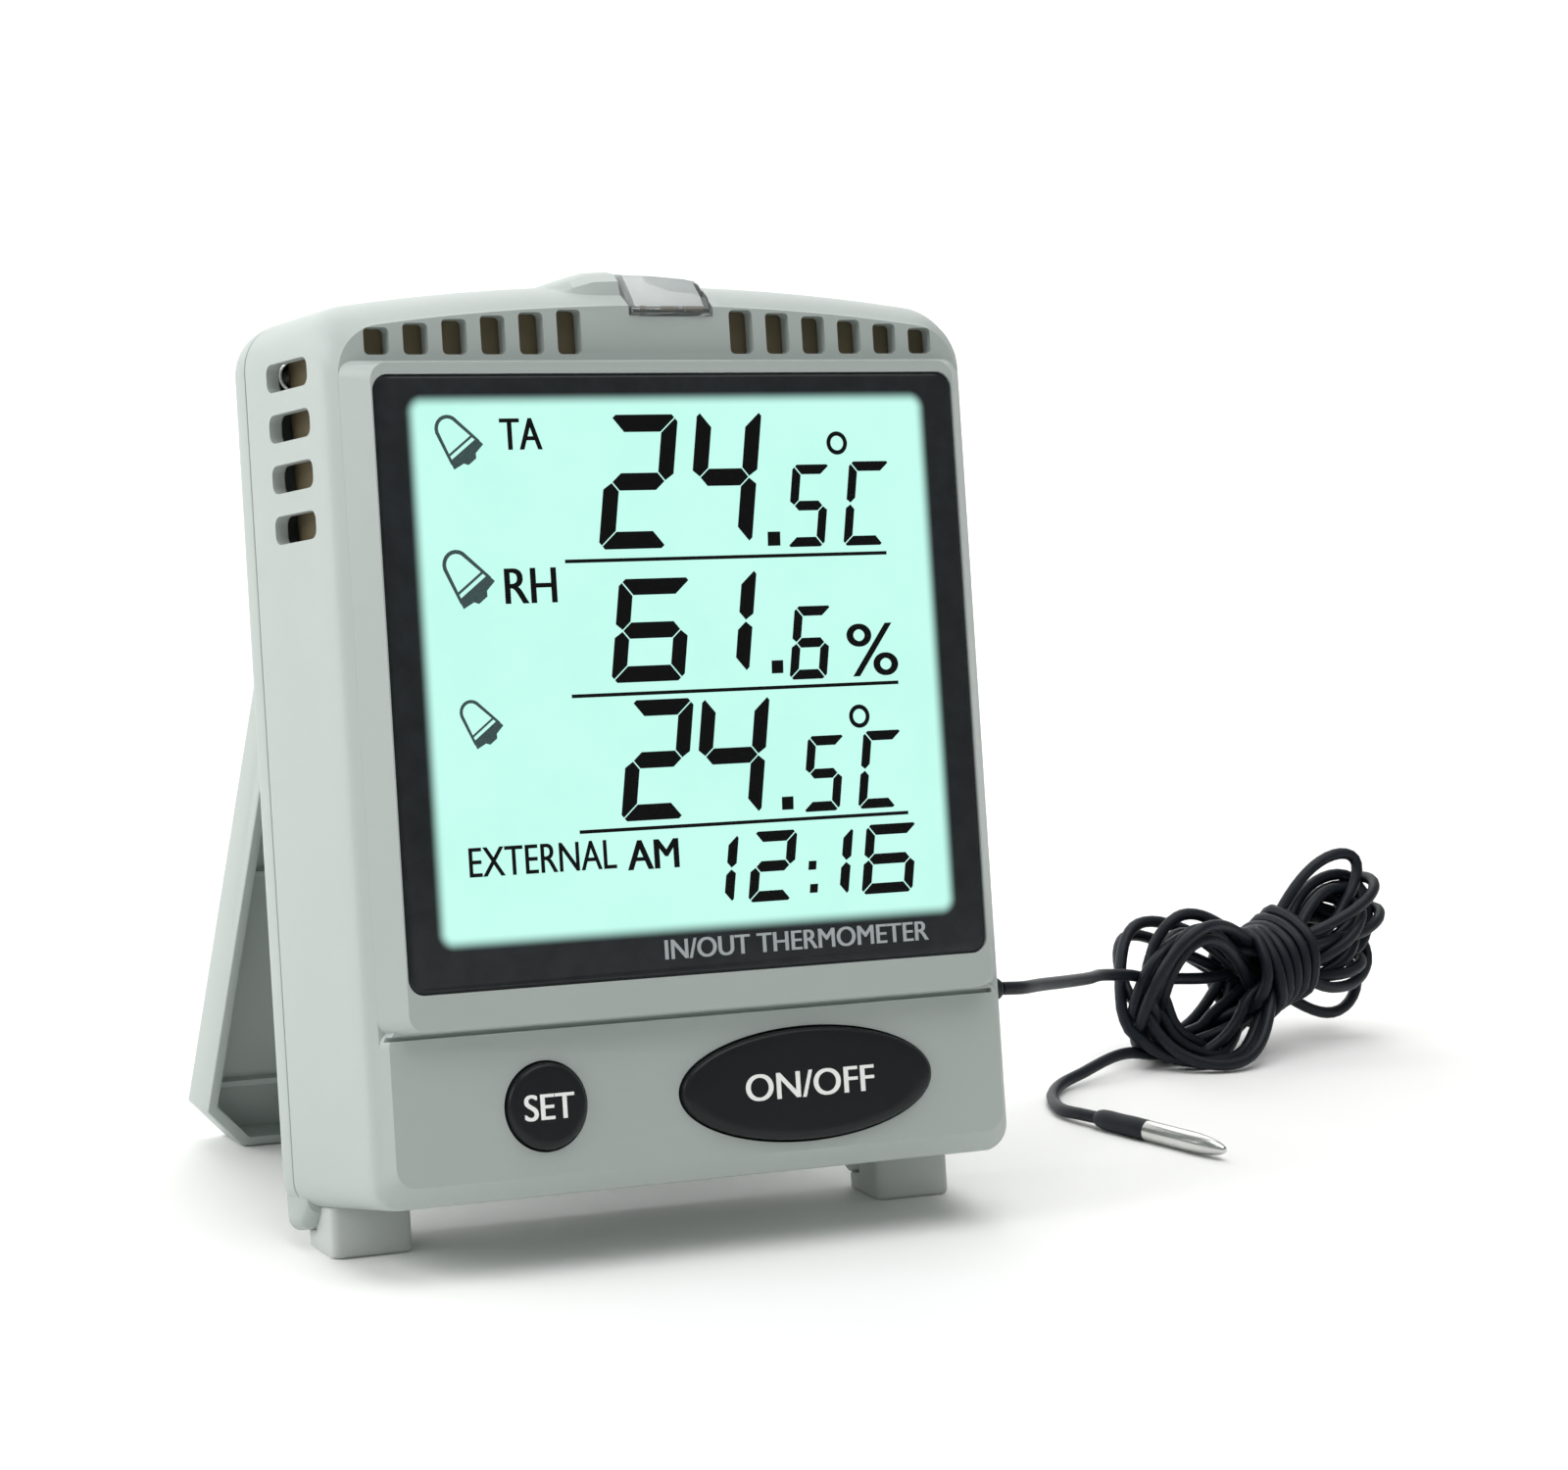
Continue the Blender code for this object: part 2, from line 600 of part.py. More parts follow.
def display(case):
    tint = material("WindowTint", (0.05, 0.06, 0.06), 0.06, 0.0, 0.6)
    shape = bmesh.new()
    outline = rounded(-WINDOW_HALF + 0.2 * MM, WINDOW_HALF - 0.2 * MM, WINDOW_BOTTOM + 0.2 * MM,
                      WINDOW_TOP - 0.2 * MM, 2.4 * MM)
    add_prism(shape, outline, 0, WINDOW_THICK)
    object_from("display_window", shape, tint, case, smooth=False)

    glass = material("LcdMint", (0.45, 0.95, 0.85), 0.2)
    half, low, high = GLASS_HALF / MM, GLASS_BOTTOM / MM, GLASS_TOP / MM
    plain_box("lcd_panel", (-half, 3.6, low), (half, 5.8, high), glass, case)

    white = material("WhitePlastic", (0.8, 0.8, 0.78), 0.5)
    acrylic = material("Acrylic", (0.8, 0.9, 0.88), 0.1)
    plain_box("light_guide", (-47, 6.1, 44), (47, 9.0, 130), acrylic, case)

    shape = bmesh.new()
    add_box(shape, (-51.5 * MM, 6.1 * MM, 41.5 * MM), (51.5 * MM, 10.4 * MM, 133.6 * MM))
    holder = object_from("lcd_holder", shape, white, case, smooth=False)
    room = bmesh.new()
    add_box(room, (-48.5 * MM, 5 * MM, 43.6 * MM), (48.5 * MM, 9.4 * MM, 130.4 * MM))
    add_box(room, (-40 * MM, 5 * MM, 50 * MM), (40 * MM, 12 * MM, 124 * MM))
    cut(holder, room, "HolderRoom")

    zebra = material("Zebra", (0.5, 0.3, 0.35), 0.8)
    plain_box("connector_strip", (-38, 6.1, 39.2), (38, 10.5, 41.2), zebra, case)
    for side, name in ((-1, "backlight_led_left"), (1, "backlight_led_right")):
        x0, x1 = sorted((side * 47.3, side * 48.2))
        plain_box(name, (x0, 6.6, 84), (x1, 8.6, 88), material("LedWhite", (0.9, 0.9, 0.8), 0.3), case)


def main_board(case):
    green = material("BoardGreen", (0.02, 0.16, 0.07), 0.4)
    low, high = BOARD_BOTTOM / MM, BOARD_TOP / MM
    near, far = BOARD_Y / MM, (BOARD_Y + BOARD_THICK) / MM
    board = plain_box("main_board", (-46, near, low), (46, far, high), green, case)
    holes = bmesh.new()
    for x, z in board_screw_places():
        add_cylinder(holes, (x * MM, 8 * MM, z * MM), (x * MM, 15 * MM, z * MM), 1.2 * MM, 16)
    cut(board, holes, "BoardHoles")

    behind = far + 0.3
    black = material("Epoxy", (0.015, 0.015, 0.017), 0.35)
    blob = ((0, 8 * MM), (1.0 * MM, 7.2 * MM), (1.9 * MM, 4.5 * MM), (2.2 * MM, 1.5 * MM))
    turned("controller_blob", blob, (-8 * MM, behind * MM, 78 * MM), (0, 1, 0), black, case)
    can = ((0, 1.5 * MM), (7.8 * MM, 1.5 * MM))
    turned("crystal", can, (8 * MM, (behind + 1.6) * MM, 62 * MM), (1, 0, 0), steel(), case, 16)
    drum = ((0, 8.5 * MM), (6.5 * MM, 8.5 * MM), (7 * MM, 8 * MM))
    turned("buzzer", drum, (30 * MM, behind * MM, 108 * MM), (0, 1, 0), black, case, 32)
    nylon = material("Nylon", (0.8, 0.78, 0.7), 0.5)
    plain_box("probe_connector", (34, behind, 24), (42, behind + 5.2, 31), nylon, case, 0.3)
    plain_box("sensor_board", (-46, 14.2, 111), (-38, 28, 126), green, case)
    white = material("SensorWhite", (0.85, 0.85, 0.82), 0.5)
    plain_box("climate_sensor", (-49, 16.5, 114), (-46.3, 25.5, 123), white, case, 0.4)
    turned("alarm_led", ((0, 2.6 * MM), (1.2 * MM, 2.6 * MM), (1.2 * MM, 2.2 * MM), (4.4 * MM, 2.2 * MM),
                         (6.0 * MM, 1.5 * MM), (6.6 * MM, 0.6 * MM)),
           (3.0 * MM, 12 * MM, 138.4 * MM), (0, 0, 1), material("LedRed", (0.8, 0.1, 0.08), 0.2), case)


def board_screw_places():
    return ((-44.0, 8.5), (44.5, 29.0), (-44.0, 129.5), (44.0, 129.5))


def board_screws(case):
    """Self-tapping screws whose heads lie behind the board; the holes are clear of their shanks."""
    for i, (x, z) in enumerate(board_screw_places()):
        rings = ((0, 2.0 * MM), (1.2 * MM, 2.0 * MM), (1.2 * MM, 0.9 * MM), (2.9 * MM, 0.9 * MM))
        start = (x * MM, (BOARD_Y + BOARD_THICK + GAP + 1.2 * MM), z * MM)
        turned(f"board_screw_{i + 1}", rings, start, (0, -1, 0), steel(), case, 16)


def case_screws(case):
    for i, (x, z) in enumerate(SCREW_PLACES):
        rings = ((0, SCREW_HEAD_RADIUS), (1.6 * MM, SCREW_HEAD_RADIUS), (1.6 * MM, SCREW_RADIUS),
                 (11.5 * MM, SCREW_RADIUS), (13 * MM, 0.5 * MM))
        turned(f"case_screw_{i + 1}", rings, (x * MM, 37.1 * MM, z * MM), (0, -1, 0), steel(), case, 20)


def spring(name, near, far, z, case):
    """A battery spring of round wire between a contact plate and its cell."""
    turns, wire, around = 4, 0.4 * MM, 12
    curve = bpy.data.curves.new(name, "CURVE")
    curve.dimensions = "3D"
    curve.bevel_depth = wire
    curve.bevel_resolution = 0
    curve.use_fill_caps = True
    strand = curve.splines.new("POLY")
    count = turns * around
    strand.points.add(count)
    for i in range(count + 1):
        share = i / count
        turn = 2 * math.pi * turns * share
        radius = (4.0 - 1.4 * share) * MM
        x = near + (far - near) * share
        strand.points[i].co = (x, CELL_Y + radius * math.cos(turn), z + radius * math.sin(turn), 1)
    thing = bpy.data.objects.new(name, curve)
    bpy.context.scene.collection.objects.link(thing)
    curve.materials.append(steel())
    thing.parent = case
    return thing


def battery_parts(case):
    sleeve = material("CellSleeve", (0.10, 0.12, 0.14), 0.35)
    names = ("lower", "upper")
    for (height, side), name in zip(zip(CELL_HEIGHTS, (1, -1)), names):
        z = height * MM
        start = (-side * (CELL_LENGTH / 2 - 2.4 * MM), CELL_Y, z)
        rings = ((0, CELL_RADIUS - 0.4 * MM), (0.4 * MM, CELL_RADIUS), (CELL_LENGTH - 1.6 * MM, CELL_RADIUS),
                 (CELL_LENGTH - 1.2 * MM, CELL_RADIUS - 0.4 * MM), (CELL_LENGTH - 1.2 * MM, 1.9 * MM),
                 (CELL_LENGTH, 1.9 * MM))
        turned("cell_" + name, rings, start, (side, 0, 0), sleeve, case, 28)
        plate_x = -side * 27.7
        x0, x1 = sorted((plate_x, plate_x - side * 0.5))
        low = z / MM - 5
        plain_box("spring_plate_" + name, (x0, 25.0, low), (x1, 35.4, low + 10), steel(), case)
        near = plate_x * MM + side * 0.75 * MM
        far = start[0] - side * 0.75 * MM
        spring("battery_spring_" + name, near, far, z, case)
        tip = start[0] + side * CELL_LENGTH
        x0, x1 = sorted((tip / MM + side * 0.4, tip / MM + side * 0.9))
        plain_box("contact_plate_" + name, (x0, 25.0, low), (x1, 35.4, low + 10), steel(), case)


def battery_door(case):
    shape = bmesh.new()
    half = BAY_HALF + DOOR_LAP - GAP
    low, high = BAY_BOTTOM - DOOR_LAP + GAP, BAY_TOP + DOOR_LAP - GAP
    outline = [(-half, low), (half, low), (half, high), (-half, high)]
    add_prism(shape, outline, REAR_Y - DOOR_THICK + GAP, REAR_Y)
    door = object_from("battery_door", shape, case_plastic(), case, smooth=False)
    grip = bmesh.new()
    for i in range(4):
        z = high - (4 + 1.8 * i) * MM
        add_box(grip, (-8 * MM, REAR_Y - 0.4 * MM, z), (8 * MM, REAR_Y + 1 * MM, z + 0.9 * MM))
    cut(door, grip, "DoorGrip")
    return door


def foot_pads(case):
    """Rubber pads cut level with the floor that the leaning case stands on."""
    rubber = material("FootRubber", (0.45, 0.47, 0.45), 0.8)

    def floor_z(y):
        return (y * math.sin(LEAN) - CASE_LIFT) / math.cos(LEAN)

    for side, name in ((-1, "foot_pad_left"), (1, "foot_pad_right")):
        left, right = sorted((side * (FOOT_INNER + 0.6 * MM), side * FOOT_OUTER))
        section = [(FOOT_FRONT_Y, floor_z(FOOT_FRONT_Y)), (FOOT_BACK_Y, floor_z(FOOT_BACK_Y)),
                   (FOOT_BACK_Y, -4.0 * MM - GAP), (33.7 * MM, -4.0 * MM - GAP), (33.7 * MM, -GAP),
                   (FOOT_FRONT_Y, -GAP)]
        shape = bmesh.new()
        add_loft(shape, [[(x, y, z) for y, z in section] for x in (left, right)])
        object_from(name, shape, rubber, case, smooth=False)


def tube(name, points, paint):
    """A cable of round section along points in the world, in millimetres."""
    curve = bpy.data.curves.new(name, "CURVE")
    curve.dimensions = "3D"
    curve.bevel_depth = CABLE_RADIUS
    curve.bevel_resolution = 2
    curve.use_fill_caps = True
    strand = curve.splines.new("POLY")
    strand.points.add(len(points) - 1)
    for point, place in zip(strand.points, points):
        point.co = (*[v * MM for v in place], 1)
    curve.materials.append(paint)
    thing = bpy.data.objects.new(name, curve)
    bpy.context.scene.collection.objects.link(thing)
    return thing


def smooth_route(knots, step):
    """Points every step millimetres or so along a smooth curve through the knots."""
    knots = [Vector(k) for k in knots]
    ends = [2 * knots[0] - knots[1]] + knots + [2 * knots[-1] - knots[-2]]
    made = []
    for before, start, end, after in zip(ends, ends[1:], ends[2:], ends[3:]):
        count = max(2, round((end - start).length / step))
        for i in range(count):
            t = i / count
            made.append(0.5 * (2 * start + (end - before) * t
                               + (2 * before - 5 * start + 4 * end - after) * t * t
                               + (3 * start - before - 3 * end + after) * t ** 3))
    return made + [knots[-1]]


def to_world(x, y, z):
    """A point of the case, in millimetres, where the leaning case puts it."""
    height = -y * math.sin(LEAN) + z * math.cos(LEAN) + CASE_LIFT / MM
    return (x, y * math.cos(LEAN) + z * math.sin(LEAN) + CASE_BACK / MM, height)


def behind_front(place):
    """A place given behind the case's front line, in world millimetres."""
    return (place[0], place[1] + CASE_BACK / MM, place[2])


def strain_relief(case):
    rubber = material("CableJacket", (0.018, 0.021, 0.03), 0.5)
    rings = ((0, 3.4 * MM), (1.2 * MM, 3.4 * MM), (1.2 * MM, 2.1 * MM), (5.0 * MM, 2.1 * MM),
             (5.0 * MM, 3.2 * MM), (6.0 * MM, 3.1 * MM), (9.8 * MM, 1.9 * MM), (10.2 * MM, 1.6 * MM))
    turned("probe_strain_relief", rings, (57.2 * MM, RELIEF_Y, RELIEF_Z), (1, 0, 0), rubber, case)


def cable():
    jacket = material("CableJacket", (0.018, 0.021, 0.03), 0.5)
    start = to_world(67.8, RELIEF_Y / MM, RELIEF_Z / MM)
    tube("probe_cable", smooth_route([start, *map(behind_front, CABLE_KNOTS)], CABLE_STEP), jacket)

    outline = []
    a = HANK_ANGLE
    reach = (HANK_LENGTH - HANK_WIDTH) / 2
    for middle, start_angle in ((reach, -90), (-reach, 90)):
        for x, y in arc((middle, 0), HANK_WIDTH / 2, start_angle, start_angle + 180, 14):
            outline.append((HANK_CENTRE[0] * MM + x * math.cos(a) - y * math.sin(a),
                            HANK_CENTRE[1] * MM + CASE_BACK + x * math.sin(a) + y * math.cos(a)))
    shape = bmesh.new()
    add_loft(shape, [[(x, y, z) for x, y in outline] for z in (0.0, HANK_HEIGHT)])
    hank = object_from("cable_hank", shape, jacket, smooth=False)
    step = hank.modifiers.new("Bevel", "BEVEL")
    step.width = 5 * MM
    step.segments = 3
    step.limit_method = "ANGLE"

    tube("cable_tail", smooth_route(list(map(behind_front, TAIL_KNOTS)), CABLE_STEP), jacket)
    base = Vector(behind_front(PROBE_BASE)) * MM
    along = Vector(PROBE_ALONG).normalized()
    black = material("Sleeve", (0.022, 0.025, 0.032), 0.55)
    turned("probe_sleeve", ((0, 1.7 * MM), (1 * MM, 2.0 * MM), (11 * MM, 2.0 * MM), (12 * MM, 1.8 * MM)),
           base, along, black, None, 20)
    tip = ((12.3 * MM, PROBE_RADIUS - 0.15 * MM), (12.6 * MM, PROBE_RADIUS), (27.5 * MM, PROBE_RADIUS),
           (29.5 * MM, 1.5 * MM), (30.6 * MM, 0.6 * MM))
    turned("probe_tip", tip, base, along, steel(), None, 20)


def main():
    clear_scene()
    case = bpy.data.objects.new("CaseTilt", None)
    bpy.context.scene.collection.objects.link(case)
    case.location = (0, CASE_BACK, CASE_LIFT)
    case.rotation_euler = (-LEAN, 0, 0)
    front_cover(case)
    rear_cover(case)
    alarm_lens(case)
    display(case)
    buttons(case)
    keypad_mat(case)
    main_board(case)
    board_screws(case)
    case_screws(case)
    battery_parts(case)
    battery_door(case)
    stand(case)
    hinge_pins(case)
    foot_pads(case)
    strain_relief(case)
    cable()


main()
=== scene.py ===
"""Looks of the desktop thermometer: camera, cord, case, display, buttons, stand and studio.

Case pieces are shaped in the case's own frame, in millimetres: x across, y from the front to the
back, z up from the bottom front edge. CASE carries them to where the leaning case stands. Lights and
cord facts are in metres.
"""

import math

import bmesh
import bpy
from mathutils import Matrix, Vector
from mathutils.kdtree import KDTree


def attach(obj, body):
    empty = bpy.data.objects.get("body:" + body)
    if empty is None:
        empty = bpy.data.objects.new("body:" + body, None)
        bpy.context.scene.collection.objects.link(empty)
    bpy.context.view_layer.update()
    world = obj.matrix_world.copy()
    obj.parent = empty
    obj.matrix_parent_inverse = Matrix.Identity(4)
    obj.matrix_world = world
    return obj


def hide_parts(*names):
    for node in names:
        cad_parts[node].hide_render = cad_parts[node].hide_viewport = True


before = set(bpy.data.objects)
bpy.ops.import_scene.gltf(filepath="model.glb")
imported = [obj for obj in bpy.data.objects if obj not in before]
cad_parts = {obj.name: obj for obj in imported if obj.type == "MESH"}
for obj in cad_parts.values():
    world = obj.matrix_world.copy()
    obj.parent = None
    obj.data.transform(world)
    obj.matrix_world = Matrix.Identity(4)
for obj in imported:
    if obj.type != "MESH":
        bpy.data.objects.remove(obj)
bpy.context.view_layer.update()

MM = 0.001
LEAN = math.radians(12.1)
CASE_LIFT = 14.04
CASE_BACK = -55.43
CASE = Matrix.Translation((0, CASE_BACK * MM, CASE_LIFT * MM)) @ Matrix.Rotation(-LEAN, 4, "X")
ON_CASE = "case"

# Case: its top rolls over from TOP_FRONT at BAND_Y to TOP_BACK at ROLL_BACK_Y
BAND_Y = 4.5
PARTING_Y = 33.0
CROWN_RADIUS = 400.0
# y, half the width there
HALF_WIDTHS = ((4.5, 58.34), (5.6, 59.25), (6.3, 59.75), (7.2, 60.05), (10.0, 60.4), (14.0, 60.8),
               (33.0, 62.95), (38.0, 63.5))
TOP_FRONT = 147.3
TOP_BACK = 152.0
ROLL_BACK_Y = 14.5
ROLL_POWER = 1.9
BACK_TAPER = 0.08
BOTTOM_ROLL = (2.2, 2.0)
BOTTOM_CORNER = 4.5
TOP_CORNER = 8.5
WALL = 2.2
FRONT_DEPTHS = (4.5, 5.0, 5.6, 6.3, 7.2, 8.4, 10.0, 12.0, 14.5, 24.0, PARTING_Y)
FRONT_HOLLOW_DEPTHS = (7.2, 10, 14.5, 24, 36)
REAR_DEPTHS_INSETS = ((33.3, 0.0), (33.8, -0.05), (36.2, 0.0), (36.9, 0.12), (37.5, 0.5), (37.85, 1.0),
                      (38.0, 1.8))
REAR_HOLLOW_DEPTHS = (31, 36)
# y, half width, bottom, top, corner radius
BLOCK_SECTIONS = ((0.0, 54.7, 28.7, 137.3, 3.0), (5.6, 59.2, 28.45, 138.3, 2.6),
                  (8.0, 59.0, 28.45, 138.0, 2.6))
# y, half width, bottom, corner radius
PANEL_SECTIONS = ((3.0, 57.2, 3.6, 3.5), (5.6, 59.2, 1.1, 4.0), (8.0, 59.0, 2.0, 4.0))
PANEL_TOP = 30.0
# x, top, front
HOOD_SECTIONS = ((-20, 150.6, 10.0), (-16.5, 151.9, 8.6), (-13, 153.0, 7.6), (-9.5, 153.9, 7.0),
                 (-4.95, 154.05, 6.9))
HOOD_FOOT = 148

# Feet and pads
FOOT_SPAN = (44.0, 62.6)
# y, bottom, and how far the inner and the outer side are drawn in
FOOT_SECTIONS = ((31.0, -1.0, 1.5, 1.0), (33.5, -3.6, 0.4, 0.4), (37.2, -4.0, 0.0, 0.0),
                 (38.0, -3.2, 0.8, 0.6))
FOOT_ROOT = 9.0
PAD_SPAN = (44.8, 59.3)
PAD_NEAR = 26.3
PAD_FAR = 37.5
PAD_STEP_Y = 33.5
PAD_TOPS = (0.15, -3.8)
PAD_ROUNDING = ((0.0, 1.0), (0.5, 0.4), (1.4, 0.0))

# Alarm lens: its sections are x, top
LENS_SECTIONS = ((-4.6, 153.6), (-4.2, 153.9), (2.0, 153.75), (8.0, 153.3), (10.2, 152.9), (10.7, 152.4))
LENS_HOLE_SECTIONS = ((-4.9, 153.9), (11.0, 153.0))
LENS_HOLE_GAP = 0.3
# The core is a white body inside the lens that paints its bright highlights; the shade spans are dark boxes
# that paint the shade under it
CORE_SECTIONS = ((-3.4, 153.9), (9.6, 153.0))
CORE_INSET = 1.3
SHADE_SPANS = ((-2.6, -1.6), (1.4, 4.6), (5.6, 9.2))

# Display
WINDOW_HALF = 54.2
WINDOW_BOTTOM = 34.9
WINDOW_TOP = 135.2
LIT_HALF = 48.0
LIT_BOTTOM = 42.3
LIT_TOP = 131.2
LIT_CORNER = 2.2
# How far the fade reaches inside and outside the lit area's corner radius
LIT_FADE = (1.4, 1.1)
DIGIT_SLANT = 0.155
CLOCK_SLANT = 0.16

# Buttons
SET_PLACE = (-30.0, 15.0)
SET_HALVES = (7.2, 7.2)
POWER_PLACE = (18.9, 14.8)
POWER_HALVES = (24.1, 9.45)
BUTTON_GAP = 0.35
# Inset from a cap's outline, y
CAP_EDGE = ((0.0, 8.0), (0.0, 2.75), (0.12, 2.35), (0.4, 2.05), (0.8, 1.85))
FACE_INSET, FACE_Y = CAP_EDGE[-1]
FACE_RINGS = 8
WORD_SINK = 0.05

# Openings
VENT_STARTS = (14.0, 21.0, 28.0, 35.0, 42.0, 49.0)
VENT_WIDTH = 4.5
VENT_BOTTOM = 139.1
VENT_TOP = 146.6
SLOT_HEIGHTS = (137.6, 129.2, 120.8, 112.4)
SLOT_SPAN = (12.0, 25.8)
SLOT_HEIGHT = 4.7
# Dark screens that paint the shade inside the vents and the side slots: their y, the margin round each vent,
# and x, y, z of the side ones' corners
SHADE_SCREEN_YS = (7.5, 8.0)
SHADE_SCREEN_MARGIN = 0.8
SIDE_SHADE_SCREEN_LOW = (56.9, 11.0, 109.0)
SIDE_SHADE_SCREEN_HIGH = (57.6, 27.0, 141.0)
GRILLE_SLOTS = 7
SCREW_PLACES = ((-52.5, 10.0), (52.5, 10.0), (-53.0, 139.5), (53.0, 139.5))

# Stand
HINGE = (43.0, 106.0)
STAND_ANGLE = math.radians(31.2)
STAND_HALF = 54.0
STAND_LENGTH = 116.8
STAND_BACK = 5.85
STAND_FRONT = -3.6
STAND_TOP = 2.6
STAND_WALL = 1.8
STAND_CHAMFER = 8.0
PIN_HOLE_RADIUS = 1.28
RIB_HALF = 0.6
RIB_XS = (-36, -12, 12, 36)
RIB_ZS = (-104, -60, -14)

# Cable: knots are places in the world, but for y, which counts from the case's bottom front edge
CABLE_DIAMETER = 2.4
RELIEF_END = (67.8, 18.5, 27.4)
CABLE_KNOTS = ((72.3, 24.9, 36.5), (82.0, 33.6, 34.5), (96.4, 47.9, 31.0), (115.8, 68.6, 26.0),
               (129.5, 85.5, 22.2), (136.5, 91.5, 20.3), (141.6, 93.8, 19.6))
TAIL_KNOTS = ((141.6, 91.8, 5.6), (134.5, 89.6, 3.8), (127.3, 86.3, 2.5), (120.1, 82.9, 1.6),
              (113.4, 76.1, 1.4), (109.6, 68.7, 1.4), (108.3, 63.5, 1.6), (109.0, 59.6, 1.9),
              (110.37, 55.2, 2.05))
PROBE_BASE = (110.5, 54.8, 2.05)
PROBE_ALONG = (9.2, -29.1, 0.0)
HANK_CENTRE = (179.0, 102.0, 16.0)
HANK_AXIS = (0.973, 0.23, 0.26)
HANK_LOOPS = 21
LONE_LOOP = 8
BINDING_TURNS = 5.5
SLOT_SPREAD = 1.45
GOLDEN_ANGLE = 2.399963
CORD_STEP = 2.2
# Settling: how many points of the lead and the tail take part, and how far each round moves a point
LEAD_EASED = 14
TAIL_EASED = 6
SETTLING_ROUNDS = 45
EASING = 0.22
PUSHING = 0.35
STRAND_GAP = 0.1
# Points this near along the cord don't push each other
OWN_POINTS = 5

# Camera
CAMERA_PLACE = (-336.7, -678.97, 203.78)
CAMERA_ALONG = (0.47823, 0.86374, -0.15890)
CAMERA_UP = (0.04353, 0.15740, 0.98658)
CAMERA_LENS = 100.54


# ---------------------------------------------------------------- shape helpers

def arc(centre, radius, start, end, steps):
    turns = [math.radians(start + (end - start) * i / steps) for i in range(steps + 1)]
    return [(centre[0] + radius * math.cos(t), centre[1] + radius * math.sin(t)) for t in turns]


def rounded(left, right, bottom, top, radius, steps=8):
    return (
        arc((right - radius, bottom + radius), radius, -90, 0, steps)
        + arc((right - radius, top - radius), radius, 0, 90, steps)
        + arc((left + radius, top - radius), radius, 90, 180, steps)
        + arc((left + radius, bottom + radius), radius, 180, 270, steps)
    )


def ellipse(centre, half_long, half_high, steps=96):
    turns = [2 * math.pi * i / steps for i in range(steps)]
    return [(centre[0] + half_long * math.cos(t), centre[1] + half_high * math.sin(t)) for t in turns]


def at(table, y):
    """The value at y, on straight lines between the table's rows."""
    for (y0, v0), (y1, v1) in zip(table, table[1:]):
        if y <= y1:
            break
    share = min(max((y - y0) / (y1 - y0), 0), 1)
    return v0 + (v1 - v0) * share


def add_loft(shape, rings, close=True):
    rows = [[shape.verts.new(point) for point in ring] for ring in rings]
    count = len(rows[0])
    for near, far in zip(rows, rows[1:]):
        for i in range(count):
            j = (i + 1) % count
            shape.faces.new((near[i], near[j], far[j], far[i]))
    if close:
        shape.faces.new(rows[0])
        shape.faces.new(rows[-1])
    return rows


def facing(outline, y):
    """An (x, z) outline as a ring at y."""
    return [(x, y, z) for x, z in outline]


def upright(outline, x):
    """A (y, z) outline as a ring at x."""
    return [(x, y, z) for y, z in outline]


def add_prism(shape, outline, y0, y1):
    add_loft(shape, [facing(outline, y) for y in (y0, y1)])


def add_box(shape, low, high):
    outline = [(low[0], low[2]), (high[0], low[2]), (high[0], high[2]), (low[0], high[2])]
    add_prism(shape, outline, low[1], high[1])


def add_turned(shape, rings, start, along, sides=32):
    """A turned shape; rings holds the reach from start and the radius of each ring."""
    start, along = Vector(start), Vector(along).normalized()
    across = along.orthogonal().normalized()
    other = along.cross(across)
    turns = [2 * math.pi * i / sides for i in range(sides)]
    rows = []
    for reach, radius in rings:
        middle = start + along * reach
        rows.append([middle + (across * math.cos(t) + other * math.sin(t)) * radius for t in turns])
    add_loft(shape, rows)


def made_by(add, *values):
    """A new bmesh that holds what one add function makes."""
    shape = bmesh.new()
    add(shape, *values)
    return shape


def piece(name, shape, matrix, paint, body=ON_CASE, sharp=38):
    """A finished object from a bmesh in millimetres, put in the world by the matrix."""
    bmesh.ops.recalc_face_normals(shape, faces=shape.faces)
    mesh = bpy.data.meshes.new(name)
    shape.to_mesh(mesh)
    shape.free()
    mesh.transform(matrix @ Matrix.Scale(MM, 4))
    if paint:
        mesh.materials.append(paint)
    thing = bpy.data.objects.new(name, mesh)
    bpy.context.scene.collection.objects.link(thing)
    mesh.shade_smooth()
    mesh.set_sharp_from_angle(angle=math.radians(sharp))
    if body:
        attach(thing, body)
    return thing


def apply_modifiers(thing, sharp=38):
    graph = bpy.context.evaluated_depsgraph_get()
    graph.update()
    mesh = bpy.data.meshes.new_from_object(thing.evaluated_get(graph))
    thing.modifiers.clear()
    old, thing.data = thing.data, mesh
    bpy.data.meshes.remove(old)
    mesh.shade_smooth()
    mesh.set_sharp_from_angle(angle=math.radians(sharp))


def carve(thing, tools, matrix):
    """Cuts with, or joins, each (operation, bmesh) in turn, then throws the tools away."""
    made = []
    for operation, shape in tools:
        tool = piece("Tool", shape, matrix, None, body=None)
        step = thing.modifiers.new(operation, "BOOLEAN")
        step.operation = operation
        step.object = tool
        step.solver = "EXACT"
        step.use_self = True
        made.append(tool)
    apply_modifiers(thing)
    for tool in made:
        bpy.data.objects.remove(tool, do_unlink=True)


def soften(thing, width, segments=2, angle=32, sharp=38):
    step = thing.modifiers.new("Soften", "BEVEL")
    step.width = width * MM
    step.segments = segments
    step.limit_method = "ANGLE"
    step.angle_limit = math.radians(angle)
    step.harden_normals = False
    step.use_clamp_overlap = True
    apply_modifiers(thing, sharp)


# ---------------------------------------------------------------- materials

def new_material(name):
    made = bpy.data.materials.new(name)
    made.use_nodes = True
    return made, made.node_tree, made.node_tree.nodes["Principled BSDF"]


